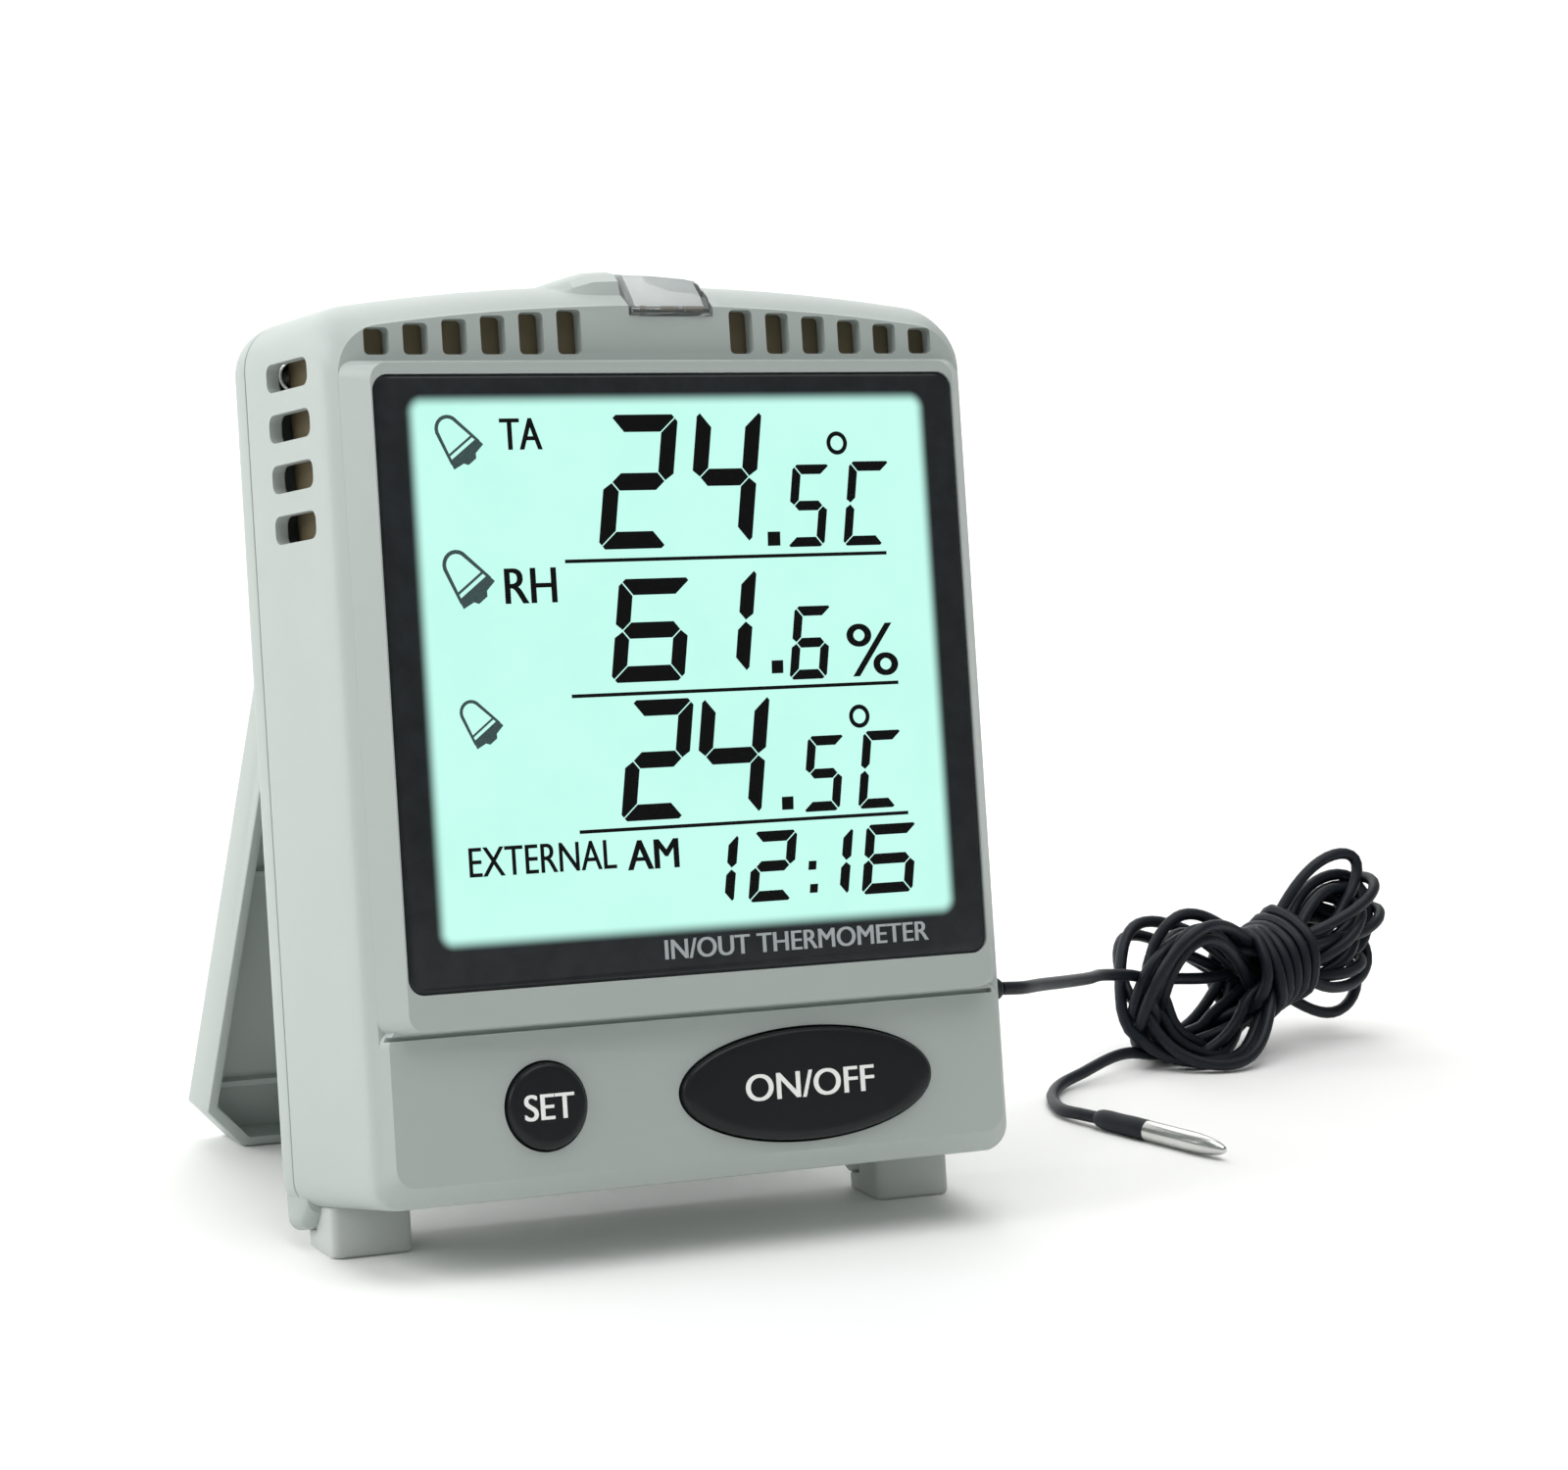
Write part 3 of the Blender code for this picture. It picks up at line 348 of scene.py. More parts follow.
def noise(tree, scale, detail=3.0, roughness=0.55):
    place = tree.nodes.new("ShaderNodeTexCoord")
    made = tree.nodes.new("ShaderNodeTexNoise")
    made.inputs["Scale"].default_value = scale
    made.inputs["Detail"].default_value = detail
    made.inputs["Roughness"].default_value = roughness
    tree.links.new(place.outputs["Object"], made.inputs["Vector"])
    return made.outputs["Fac"]


def ramp(tree, source, low, high, start=0.3, end=0.7):
    made = tree.nodes.new("ShaderNodeValToRGB")
    made.color_ramp.elements[0].position = start
    made.color_ramp.elements[0].color = (*low, 1)
    made.color_ramp.elements[1].position = end
    made.color_ramp.elements[1].color = (*high, 1)
    tree.links.new(source, made.inputs["Fac"])
    return made.outputs["Color"]


def spread(tree, source, low, high):
    made = tree.nodes.new("ShaderNodeMapRange")
    made.inputs["To Min"].default_value = low
    made.inputs["To Max"].default_value = high
    tree.links.new(source, made.inputs["Value"])
    return made.outputs["Result"]


def bump(tree, shader, source, strength, distance):
    made = tree.nodes.new("ShaderNodeBump")
    made.inputs["Strength"].default_value = strength
    made.inputs["Distance"].default_value = distance
    tree.links.new(source, made.inputs["Height"])
    tree.links.new(made.outputs["Normal"], shader.inputs["Normal"])


def surface(name, colour, roughness, metallic=0.0, grain=900.0, depth=0.00004, vary=0.06,
            strength=0.25, clouds=28.0, specular=0.5):
    """A moulded or metal surface: cloudy tone, uneven gloss and a fine grain."""
    made, tree, shader = new_material(name)
    wide = noise(tree, clouds)
    low = [max(c * (1 - vary), 0) for c in colour]
    high = [min(c * (1 + vary), 1) for c in colour]
    tree.links.new(ramp(tree, wide, low, high), shader.inputs["Base Color"])
    fine = noise(tree, grain, 4.0)
    tree.links.new(spread(tree, fine, roughness - 0.06, roughness + 0.08), shader.inputs["Roughness"])
    shader.inputs["Metallic"].default_value = metallic
    shader.inputs["Specular IOR Level"].default_value = specular
    bump(tree, shader, fine, strength, depth)
    return made


def display_material():
    """A dark printed border round a lit area whose edge fades over about 2.5 mm."""
    made, tree, shader = new_material("DisplayFace")
    uv = tree.nodes.new("ShaderNodeUVMap")
    uv.uv_map = "Face"
    parts = tree.nodes.new("ShaderNodeSeparateXYZ")
    tree.links.new(uv.outputs["UV"], parts.inputs["Vector"])

    def math_node(kind, a, b=None):
        node = tree.nodes.new("ShaderNodeMath")
        node.operation = kind
        for socket, value in zip(node.inputs, (a, b)):
            if value is None:
                continue
            if isinstance(value, (int, float)):
                socket.default_value = value
            else:
                tree.links.new(value, socket)
        return node.outputs["Value"]

    def edge(kind, middle, half):
        centred = math_node("ABSOLUTE", math_node("SUBTRACT", parts.outputs[kind], middle))
        return math_node("MAXIMUM", math_node("SUBTRACT", centred, half), 0.0)

    corner = LIT_CORNER
    across = edge("X", 0.0, LIT_HALF - corner)
    middle = (LIT_BOTTOM + LIT_TOP) / 2
    up = edge("Y", middle, (LIT_TOP - LIT_BOTTOM) / 2 - corner)
    away = math_node("SQRT", math_node("ADD", math_node("POWER", across, 2.0), math_node("POWER", up, 2.0)))
    fade = tree.nodes.new("ShaderNodeMapRange")
    fade.interpolation_type = "SMOOTHSTEP"
    fade.inputs["From Min"].default_value = corner - LIT_FADE[0]
    fade.inputs["From Max"].default_value = corner + LIT_FADE[1]
    fade.inputs["To Min"].default_value = 1.0
    fade.inputs["To Max"].default_value = 0.0
    tree.links.new(away, fade.inputs["Value"])

    patches = noise(tree, 60.0)
    mint = ramp(tree, patches, (0.552, 0.990, 0.870), (0.575, 1.0, 0.890), 0.35, 0.65)
    mix = tree.nodes.new("ShaderNodeMix")
    mix.data_type = "RGBA"
    dark = ramp(tree, noise(tree, 240.0), (0.015, 0.0175, 0.019), (0.020, 0.023, 0.025), 0.35, 0.65)
    tree.links.new(fade.outputs["Result"], mix.inputs["Factor"])
    tree.links.new(dark, mix.inputs["A"])
    black = ramp(tree, noise(tree, 240.0), (0.01, 0.012, 0.012), (0.014, 0.016, 0.016), 0.35, 0.65)
    tree.links.new(black, mix.inputs["B"])
    tree.links.new(mix.outputs["Result"], shader.inputs["Base Color"])
    tree.links.new(mint, shader.inputs["Emission Color"])
    tree.links.new(spread(tree, fade.outputs["Result"], 0.0, 0.98), shader.inputs["Emission Strength"])
    tree.links.new(spread(tree, noise(tree, 500.0), 0.20, 0.28), shader.inputs["Roughness"])
    shader.inputs["Specular IOR Level"].default_value = 0.2
    return made


def clear_material():
    made, tree, shader = new_material("ClearLens")
    tint = ramp(tree, noise(tree, 160.0), (0.84, 0.88, 0.87), (0.92, 0.95, 0.94))
    tree.links.new(tint, shader.inputs["Base Color"])
    shader.inputs["Transmission Weight"].default_value = 0.95
    shader.inputs["IOR"].default_value = 1.49
    fine = noise(tree, 260.0)
    tree.links.new(spread(tree, fine, 0.02, 0.08), shader.inputs["Roughness"])
    bump(tree, shader, fine, 0.1, 0.00001)
    return made


def print_material(name, colour):
    """Ink: a little uneven in tone, dull."""
    made, tree, shader = new_material(name)
    low = [c * 0.94 for c in colour]
    tree.links.new(ramp(tree, noise(tree, 700.0), low, colour), shader.inputs["Base Color"])
    tree.links.new(spread(tree, noise(tree, 900.0), 0.35, 0.5), shader.inputs["Roughness"])
    shader.inputs["Specular IOR Level"].default_value = 0.12
    return made


CASE_PAINT = surface("CasePlastic", (0.412, 0.454, 0.436), 0.42, grain=1500.0, depth=0.00003, vary=0.02,
                     strength=0.22, clouds=22.0)
BUTTON_PAINT = surface("ButtonPlastic", (0.009, 0.0105, 0.012), 0.30, grain=1200.0, depth=0.00002, vary=0.12,
                       specular=0.26)
CABLE_PAINT = surface("CableJacket", (0.006, 0.0085, 0.014), 0.46, grain=1800.0, depth=0.00003, vary=0.18,
                      strength=0.3, clouds=120.0, specular=0.26)
SLEEVE_PAINT = surface("ShrinkSleeve", (0.010, 0.013, 0.018), 0.5, grain=1400.0, depth=0.00005, vary=0.15,
                       strength=0.4, clouds=200.0, specular=0.3)
STEEL_PAINT = surface("Steel", (0.66, 0.66, 0.64), 0.24, 1.0, grain=2200.0, depth=0.00001, vary=0.06,
                      clouds=300.0)
RUBBER_PAINT = surface("FootRubber", (0.52, 0.55, 0.53), 0.75, grain=800.0, vary=0.05)
# Painted shade: dark brown for the shaded inside seen through the vents and the side slots, and for the gaps
# under the lens core
INSIDE_SHADE_PAINT = surface("InsideShade", (0.12, 0.095, 0.05), 0.7, grain=700.0, vary=0.2)
# Painted highlight: a white body inside the clear lens that makes it look bright
LENS_HIGHLIGHT_PAINT = surface("LensHighlightCore", (0.80, 0.82, 0.82), 0.4, vary=0.04, clouds=300.0)
CLEAR_PAINT = clear_material()
DISPLAY_PAINT = display_material()
SEGMENT_PAINT = print_material("LcdInk", (0.0035, 0.0035, 0.004))
GREY_INK = print_material("BellInk", (0.06, 0.10, 0.10))
LABEL_INK = print_material("LabelInk", (0.42, 0.45, 0.46))
LETTER_INK = print_material("LetterInk", (0.95, 0.95, 0.93))


# ---------------------------------------------------------------- camera

def make_camera():
    along, up = Vector(CAMERA_ALONG).normalized(), Vector(CAMERA_UP).normalized()
    across = along.cross(up).normalized()
    up = across.cross(along)
    data = bpy.data.cameras.new("Camera")
    data.lens = CAMERA_LENS
    data.sensor_width = 36.0
    data.clip_start = 0.02
    thing = bpy.data.objects.new("Camera", data)
    bpy.context.scene.collection.objects.link(thing)
    turn = Matrix((across, up, -along)).transposed().to_4x4()
    thing.matrix_world = Matrix.Translation(Vector(CAMERA_PLACE) * MM) @ turn
    bpy.context.scene.camera = thing


# ---------------------------------------------------------------- cord

def behind_front(place):
    return Vector((place[0], place[1] + CASE_BACK, place[2]))


def smooth_route(knots, step):
    """Points about every step millimetres along a centripetal curve through the knots."""
    knots = [Vector(k) for k in knots]
    ends = [2 * knots[0] - knots[1]] + knots + [2 * knots[-1] - knots[-2]]
    made = []
    for p0, p1, p2, p3 in zip(ends, ends[1:], ends[2:], ends[3:]):
        t1 = max((p1 - p0).length, 1e-6) ** 0.5
        t2 = t1 + max((p2 - p1).length, 1e-6) ** 0.5
        t3 = t2 + max((p3 - p2).length, 1e-6) ** 0.5
        count = max(2, round((p2 - p1).length / step))
        for i in range(count):
            t = t1 + (t2 - t1) * i / count
            a1 = p0 * ((t1 - t) / t1) + p1 * (t / t1)
            a2 = p1 * ((t2 - t) / (t2 - t1)) + p2 * ((t - t1) / (t2 - t1))
            a3 = p2 * ((t3 - t) / (t3 - t2)) + p3 * ((t - t2) / (t3 - t2))
            b1 = a1 * ((t2 - t) / t2) + a2 * (t / t2)
            b2 = a2 * ((t3 - t) / (t3 - t1)) + a3 * ((t - t1) / (t3 - t1))
            made.append(b1 * ((t2 - t) / (t2 - t1)) + b2 * ((t - t1) / (t2 - t1)))
    return made + [knots[-1]]


def hank_knots():
    """Loops that run out to either end of the hank by turns, and the turns that bind its middle.

    Tilt, reach, width and lift follow sines of the loop's number, so that no two loops are alike.
    """
    middle = behind_front(HANK_CENTRE)
    along = Vector(HANK_AXIS).normalized()
    flat = Vector((0, 0, 1)).cross(along).normalized()
    rise = along.cross(flat)

    def place(s, side, up):
        return middle + along * s + flat * side + rise * up

    def slot_of(k):
        """Where the k-th strand passes through the bound middle."""
        angle = k * GOLDEN_ANGLE
        radius = SLOT_SPREAD * math.sqrt(k + 0.4)
        return radius * math.cos(angle), radius * math.sin(angle)

    knots = []
    for k in range(HANK_LOOPS):
        end = -1 if k % 2 else 1
        here, there = slot_of(k), slot_of(k + 1)
        reach = 32.0 + 3.5 * math.sin(2.3 * k + 1.0)
        if end < 0:
            tilt = math.radians(82 + 34 * math.sin(1.7 * k + 0.6))
            width = 16.5 + 3.5 * math.sin(2.7 * k)
            lift = 3.5 + 2.0 * math.sin(1.3 * k)
        else:
            tilt = math.radians(40 + 45 * math.sin(1.7 * k + 0.6))
            width = 10.0 + 2.5 * math.sin(3.1 * k)
            lift = 4.0 + 4.0 * math.sin(1.3 * k)
        if k % 6 == 4:
            lift -= 14.0
        if k == LONE_LOOP:
            tilt, width, lift = math.radians(84), 7.0, 13.0
        side, up = math.cos(tilt), math.sin(tilt)
        if k % 4 in (1, 2):
            side, up = -side, -up
        knots.append(place(0, *here))
        for share, wide in ((0.42, 0.72), (0.74, 1.0)):
            knots.append(place(end * reach * share, here[0] * (1 - share) + side * width * wide,
                               here[1] * (1 - share) + up * width * wide + lift * share))
        knots.append(place(end * (reach + 2.5), side * 0.1 * width, up * 0.1 * width + lift))
        for share, wide in ((0.74, 1.0), (0.42, 0.72)):
            knots.append(place(end * reach * share, there[0] * (1 - share) - side * width * wide,
                               there[1] * (1 - share) - up * width * wide + lift * share))
    for i in range(int(BINDING_TURNS * 10) + 1):
        turn = math.pi / 5 * i
        knots.append(place(9.0 - 2.8 * i / 10 + 2.0 * math.sin(turn), 10.6 * math.cos(turn),
                           9.8 * math.sin(turn)))
    knots += [place(-14, 6, -11), place(-24, 3, -13)]
    return knots


def settled(route, first, last):
    """The route eased, with its strands pushed a diameter apart and kept above the floor."""
    lowest = CABLE_DIAMETER / 2 + STRAND_GAP
    for _ in range(SETTLING_ROUNDS):
        tree = KDTree(len(route))
        for i, spot in enumerate(route):
            tree.insert(spot, i)
        tree.balance()
        moved = list(route)
        for i in range(first, last):
            spot = route[i]
            shift = ((route[i - 1] + route[i + 1]) / 2 - spot) * EASING
            for other, j, away in tree.find_range(spot, CABLE_DIAMETER + STRAND_GAP):
                if abs(i - j) > OWN_POINTS and away > 0.001:
                    shift += (spot - other) * (PUSHING * (CABLE_DIAMETER + STRAND_GAP - away) / away)
            moved[i] = spot + shift
            moved[i].z = max(moved[i].z, lowest)
        route = moved
    return route


def cord_route(start):
    lead = [start, *map(behind_front, CABLE_KNOTS)]
    tail = list(map(behind_front, TAIL_KNOTS))
    lead_steps = len(smooth_route(lead, CORD_STEP)) - LEAD_EASED
    tail_steps = len(smooth_route(tail, CORD_STEP)) - TAIL_EASED
    route = smooth_route(lead + hank_knots() + tail, CORD_STEP)
    return settled(route, lead_steps, len(route) - tail_steps)


def make_probe():
    """The shrink sleeve and the round-nosed steel tip at the cord's end."""
    base, along = behind_front(PROBE_BASE), Vector(PROBE_ALONG).normalized()
    shape = made_by(add_turned, ((-0.6, 1.25), (0, 1.62), (0.8, 1.84), (2.5, 1.95), (5.5, 1.92),
                                 (8.5, 2.02), (11.4, 2.0), (12.0, 1.9)), base, along)
    sleeve = piece("sleeve_shrink", shape, Matrix.Identity(4), SLEEVE_PAINT)
    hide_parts("probe_sleeve")
    nose = [(22.0 + 8.4 * math.sin(t), 0.25 + 1.7 * math.cos(t) ** 1.1)
            for t in [math.pi / 2 * i / 10 for i in range(10)]]
    shape = made_by(add_turned, [(11.8, 1.93), (12.0, 1.95), (21.0, 1.95), *nose], base, along, 40)
    tip = piece("tip_steel", shape, Matrix.Identity(4), STEEL_PAINT, sharp=60)
    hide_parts("probe_tip")
    return [sleeve, tip]


def make_cord():
    start = CASE @ (Vector(RELIEF_END) * MM) / MM
    route = cord_route(start)
    curve = bpy.data.curves.new("probe_cord", "CURVE")
    curve.dimensions = "3D"
    curve.bevel_depth = CABLE_DIAMETER / 2 * MM
    curve.bevel_resolution = 3
    curve.use_fill_caps = True
    strand = curve.splines.new("POLY")
    strand.points.add(len(route) - 1)
    for point, spot in zip(strand.points, route):
        point.co = (*(spot * MM), 1)
    strand.use_smooth = True
    curve.materials.append(CABLE_PAINT)
    cord = bpy.data.objects.new("probe_cord", curve)
    bpy.context.scene.collection.objects.link(cord)
    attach(cord, ON_CASE)
    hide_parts("probe_cable", "cable_hank", "cable_tail")
    make_probe()


# ---------------------------------------------------------------- case

def case_outline(y, inset=0.0):
    """The (x, z) outline at y: low round bottom corners, larger top ones and a crowned top."""
    half = at(HALF_WIDTHS, y) - inset
    roll = max(0.0, 1 - (y - BAND_Y) / (ROLL_BACK_Y - BAND_Y))
    top = TOP_BACK - (TOP_BACK - TOP_FRONT) * roll ** ROLL_POWER - max(0, y - PARTING_Y) * BACK_TAPER - inset
    bottom = max(0.0, BOTTOM_ROLL[0] * (1 - (y - BAND_Y) / BOTTOM_ROLL[1])) + inset
    low = BOTTOM_CORNER - inset / 2
    corner = TOP_CORNER - inset / 2
    crown = CROWN_RADIUS - inset
    centre = top - crown
    rise = math.sqrt((crown - corner) ** 2 - (half - corner) ** 2)
    tilt = math.degrees(math.atan2(rise, half - corner))
    points = arc((half - low, bottom + low), low, -90, 0, 8)
    points += arc((half - corner, centre + rise), corner, 0, tilt, 12)
    points += arc((0, centre), crown, tilt, 180 - tilt, 40)[1:-1]
    points += arc((corner - half, centre + rise), corner, 180 - tilt, 180, 12)
    points += arc((low - half, bottom + low), low, 180, 270, 8)
    return points


def case_ring(y, inset=0.0):
    return facing(case_outline(y, inset), y)


def vent_spans():
    """Left, right and top of each air vent; the tops follow the crown down to the sides."""
    for i, start in enumerate(VENT_STARTS):
        top = VENT_TOP - 0.45 * i - 0.03 * i * i
        yield -start - VENT_WIDTH, -start, top
        yield start, start + VENT_WIDTH, top


def lens_section(top, grow):
    """The lens's (y, z) outline: up its sloping front, over the top and down at the back."""
    low = 145.8 - grow
    return [(3.9 - grow, low), (5.4 - grow, 149.0), (8.4 - grow, top - 0.9), (12, top + grow),
            (18.5, top + grow), (20 + grow, top - 1), (20 + grow, low)]


def hood_outline(top, front):
    return [(front, HOOD_FOOT), (front + 0.9, top - 2.2), (front + 2.6, top - 0.8), (front + 5, top),
            (18.4, top), (20.0, top - 0.6), (20.8, top - 1.6), (20.8, HOOD_FOOT)]


def button_holes():
    holes = bmesh.new()
    for place, halves, steps in ((SET_PLACE, SET_HALVES, 64), (POWER_PLACE, POWER_HALVES, 96)):
        add_prism(holes, ellipse(place, halves[0] + BUTTON_GAP, halves[1] + BUTTON_GAP, steps), 0, 8)
    return holes


def vent_openings():
    vents = bmesh.new()
    for left, right, top in vent_spans():
        add_prism(vents, rounded(left, right, VENT_BOTTOM, top, 0.8, 3), 2, 9)
    return vents


def side_slots():
    slots = bmesh.new()
    for height in SLOT_HEIGHTS:
        outline = rounded(*SLOT_SPAN, height - SLOT_HEIGHT / 2, height + SLOT_HEIGHT / 2, 1.6, 5)
        for side in (-1, 1):
            add_loft(slots, [upright(outline, x) for x in sorted((side * 56, side * 66))])
    return slots


def make_front_cover():
    cover = piece("shell_front", made_by(add_loft, [case_ring(y) for y in FRONT_DEPTHS]), CASE,
                  CASE_PAINT)
    added = (
        made_by(add_loft, [facing(rounded(-half, half, low, high, radius), y)
                           for y, half, low, high, radius in BLOCK_SECTIONS]),
        made_by(add_loft, [facing(rounded(-half, half, low, PANEL_TOP, radius), y)
                           for y, half, low, radius in PANEL_SECTIONS]),
        made_by(add_loft, [upright(hood_outline(top, front), x) for x, top, front in HOOD_SECTIONS]),
    )
    hollow = made_by(add_loft, [case_ring(y, WALL) for y in FRONT_HOLLOW_DEPTHS])
    display_bay = made_by(add_box, (-52.6, 3.2, 33), (52.6, 9, 134.6))
    key_bay = made_by(add_box, (-54, 5, 3.7), (54, 9, 26.4))
    window_seat = made_by(add_prism, rounded(-54.45, 54.45, 34.65, 135.4, 2.8), -1, 1.7)
    opening = made_by(add_prism, rounded(-49.6, 49.6, 39.6, 130.6, 2.6), -1, 5)
    groove = made_by(add_box, (-58.9, -1, 27.55), (56.4, 4.0, 28.3))
    lens_hole = made_by(add_loft, [upright(lens_section(top, LENS_HOLE_GAP), x)
                                   for x, top in LENS_HOLE_SECTIONS])
    cable_entry = made_by(add_turned, ((0, 2.5), (10, 2.5)), (56, 18.5, 27.4), (1, 0, 0))
    cut = (hollow, display_bay, key_bay, window_seat, opening, groove, button_holes(), vent_openings(),
           side_slots(), lens_hole, cable_entry)
    carve(cover, [("UNION", shape) for shape in added] + [("DIFFERENCE", shape) for shape in cut], CASE)
    soften(cover, 0.35)
    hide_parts("front_cover")


def make_shade_screens():
    """Dark brown screens behind the air vents and the side slots, which paint the shade of the inside seen
    through them.
    """
    shape = bmesh.new()
    for left, right, top in vent_spans():
        add_box(shape, (left - SHADE_SCREEN_MARGIN, SHADE_SCREEN_YS[0], VENT_BOTTOM - SHADE_SCREEN_MARGIN),
                (right + SHADE_SCREEN_MARGIN, SHADE_SCREEN_YS[1], top + SHADE_SCREEN_MARGIN / 2))
    for side in (-1, 1):
        x0, x1 = sorted((side * SIDE_SHADE_SCREEN_LOW[0], side * SIDE_SHADE_SCREEN_HIGH[0]))
        add_box(shape, (x0, *SIDE_SHADE_SCREEN_LOW[1:]), (x1, *SIDE_SHADE_SCREEN_HIGH[1:]))
    piece("vent_shade_screen", shape, CASE, INSIDE_SHADE_PAINT)


def make_display():
    """The window's face; its UV map holds x and z in millimetres, which the lit area is drawn by."""
    shape = bmesh.new()
    outline = rounded(-WINDOW_HALF, WINDOW_HALF, WINDOW_BOTTOM, WINDOW_TOP, 2.6, 10)
    inner = rounded(-WINDOW_HALF + 0.5, WINDOW_HALF - 0.5, WINDOW_BOTTOM + 0.5, WINDOW_TOP - 0.5, 2.3, 10)
    add_loft(shape, [facing(inner, 0.15), facing(outline, 0.4), facing(outline, 1.4)])
    face = shape.loops.layers.uv.new("Face")
    for polygon in shape.faces:
        for loop in polygon.loops:
            loop[face].uv = (loop.vert.co.x, loop.vert.co.z)
    window = piece("window_face", shape, CASE, DISPLAY_PAINT, sharp=25)
    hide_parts("display_window")


# ---------------------------------------------------------------- lettering

INK_Y = 0.08
INK_THICK = 0.05
INK_STEP = 0.004
BELL_INK_Y = 0.07
SEGMENT_GAP = 0.16
SEGMENTS = {
    "0": "abcdef", "1": "bc", "2": "abged", "4": "fgbc", "5": "afgcd", "6": "afgedc", "C": "afed",
}
# figure, left, bottom, width, height, stroke, slant
FIGURES = (
    ("2", -15.5, 106.0, 12.9, 22.4, 2.9, DIGIT_SLANT), ("4", 1.0, 106.2, 12.3, 23.0, 2.9, DIGIT_SLANT),
    ("6", -14.7, 83.8, 13.6, 17.2, 2.7, DIGIT_SLANT), ("1", 5.4, 84.4, 5.8, 18.0, 2.7, DIGIT_SLANT),
    ("2", -14.5, 60.8, 11.9, 20.0, 2.7, DIGIT_SLANT), ("4", -1.0, 60.6, 12.8, 20.4, 2.7, DIGIT_SLANT),
    ("5", 20.0, 105.6, 7.3, 14.0, 1.65, DIGIT_SLANT), ("C", 31.0, 105.6, 8.0, 14.4, 1.65, DIGIT_SLANT),
    ("6", 18.9, 83.1, 7.2, 12.4, 1.65, DIGIT_SLANT), ("5", 19.8, 60.6, 7.2, 12.8, 1.65, DIGIT_SLANT),
    ("C", 30.6, 60.6, 7.6, 13.2, 1.65, DIGIT_SLANT), ("1", 1.9, 46.0, 3.6, 11.8, 1.8, CLOCK_SLANT),
    ("2", 8.3, 46.0, 8.4, 11.8, 1.8, CLOCK_SLANT), ("1", 24.0, 46.0, 3.6, 11.8, 1.8, CLOCK_SLANT),
    ("6", 30.2, 46.0, 10.0, 11.8, 1.8, CLOCK_SLANT),
)
# left, bottom, side, lean
POINTS = ((16.4, 105.9, 2.4, 0.1), (15.6, 84.3, 2.2, 0.1), (15.9, 61.2, 2.2, 0.1), (20.2, 46.9, 1.5, 0.2),
          (20.2, 50.8, 1.5, 0.2))
# left, right, height
RULES = ((-21.8, 39.4, 104.2), (-22.1, 40.1, 81.9), (-22.2, 40.4, 59.5))
RULE_HALF = 0.3
DEGREE_PLACES = ((31.0, 123.2), (32.0, 76.4))
DEGREE_RADIUS = 2.0
DEGREE_WIDTH = 0.75
# name, words, left, bottom, height, width, paint, weight
WORDS = (
    ("word_ta", "TA", -32.1, 122.8, 5.2, 7.4, SEGMENT_PAINT, 0.25),
    ("word_rh", "RH", -32.9, 97.5, 5.8, 9.2, SEGMENT_PAINT, 0.25),
    ("word_external", "EXTERNAL", -42.4, 53.2, 4.8, 26.6, SEGMENT_PAINT, 0.12),
    ("word_am", "AM", -13.6, 52.7, 4.9, 9.3, SEGMENT_PAINT, 0.35),
    ("word_percent", "%", 30.6, 83.2, 9.0, 9.6, SEGMENT_PAINT, 0.2),
    ("word_thermometer", "IN/OUT THERMOMETER", -7.8, 37.5, 3.3, 50.6, LABEL_INK, 0.2),
)
# name, x, z, size
BELLS = (("bell_top", -40.2, 124.6, 1.0), ("bell_middle", -40.0, 102.2, 1.08), ("bell_low", -39.2, 78.4, 0.9))
BELL_TURN = math.radians(37)


def add_flat(shape, corners, y=INK_Y):
    add_prism(shape, corners, y, y + INK_THICK)


def add_digit(shape, kind, left, bottom, wide, high, stroke, slant):
    """A slanted seven-segment figure with clipped corners and hairline gaps."""
    g, t, half, middle = SEGMENT_GAP, stroke, stroke / 2, high / 2
    clip = stroke * 0.36

    def side(outer, inner):
        """The upper stroke on one side, from its clipped top to the pointed middle."""
        inward = 1 if inner > outer else -1
        return [(outer, high - clip - g), (outer + inward * clip / 2, high - clip / 2 - g),
                (inner, high - t - g), (inner, middle + half + g),
                (outer + inward * half, middle + g), (outer, middle + clip + g)]

    def flipped(points):
        return [(x, high - z) for x, z in points]

    top = [(clip + g, high), (wide - clip - g, high), (wide - clip / 2 - g, high - clip / 2),
           (wide - t - g, high - t), (t + g, high - t), (clip / 2 + g, high - clip / 2)]
    strokes = {
        "a": top, "d": flipped(top), "f": side(0, t), "e": flipped(side(0, t)),
        "b": side(wide, wide - t), "c": flipped(side(wide, wide - t)),
        "g": [(half + g, middle), (t + g, middle + half), (wide - t - g, middle + half),
              (wide - half - g, middle), (wide - t - g, middle - half), (t + g, middle - half)],
    }
    for name in SEGMENTS[kind]:
        corners = [(left + x + slant * z, bottom + z) for x, z in strokes[name]]
        add_flat(shape, corners)


def add_outline(shape, outer, inner):
    """A flat line of ink between two outlines."""
    back = INK_Y + INK_THICK
    add_loft(shape, [facing(outer, INK_Y), facing(outer, back), facing(inner, back), facing(inner, INK_Y),
                     facing(outer, INK_Y)], close=False)
    bmesh.ops.remove_doubles(shape, verts=shape.verts, dist=1e-5)


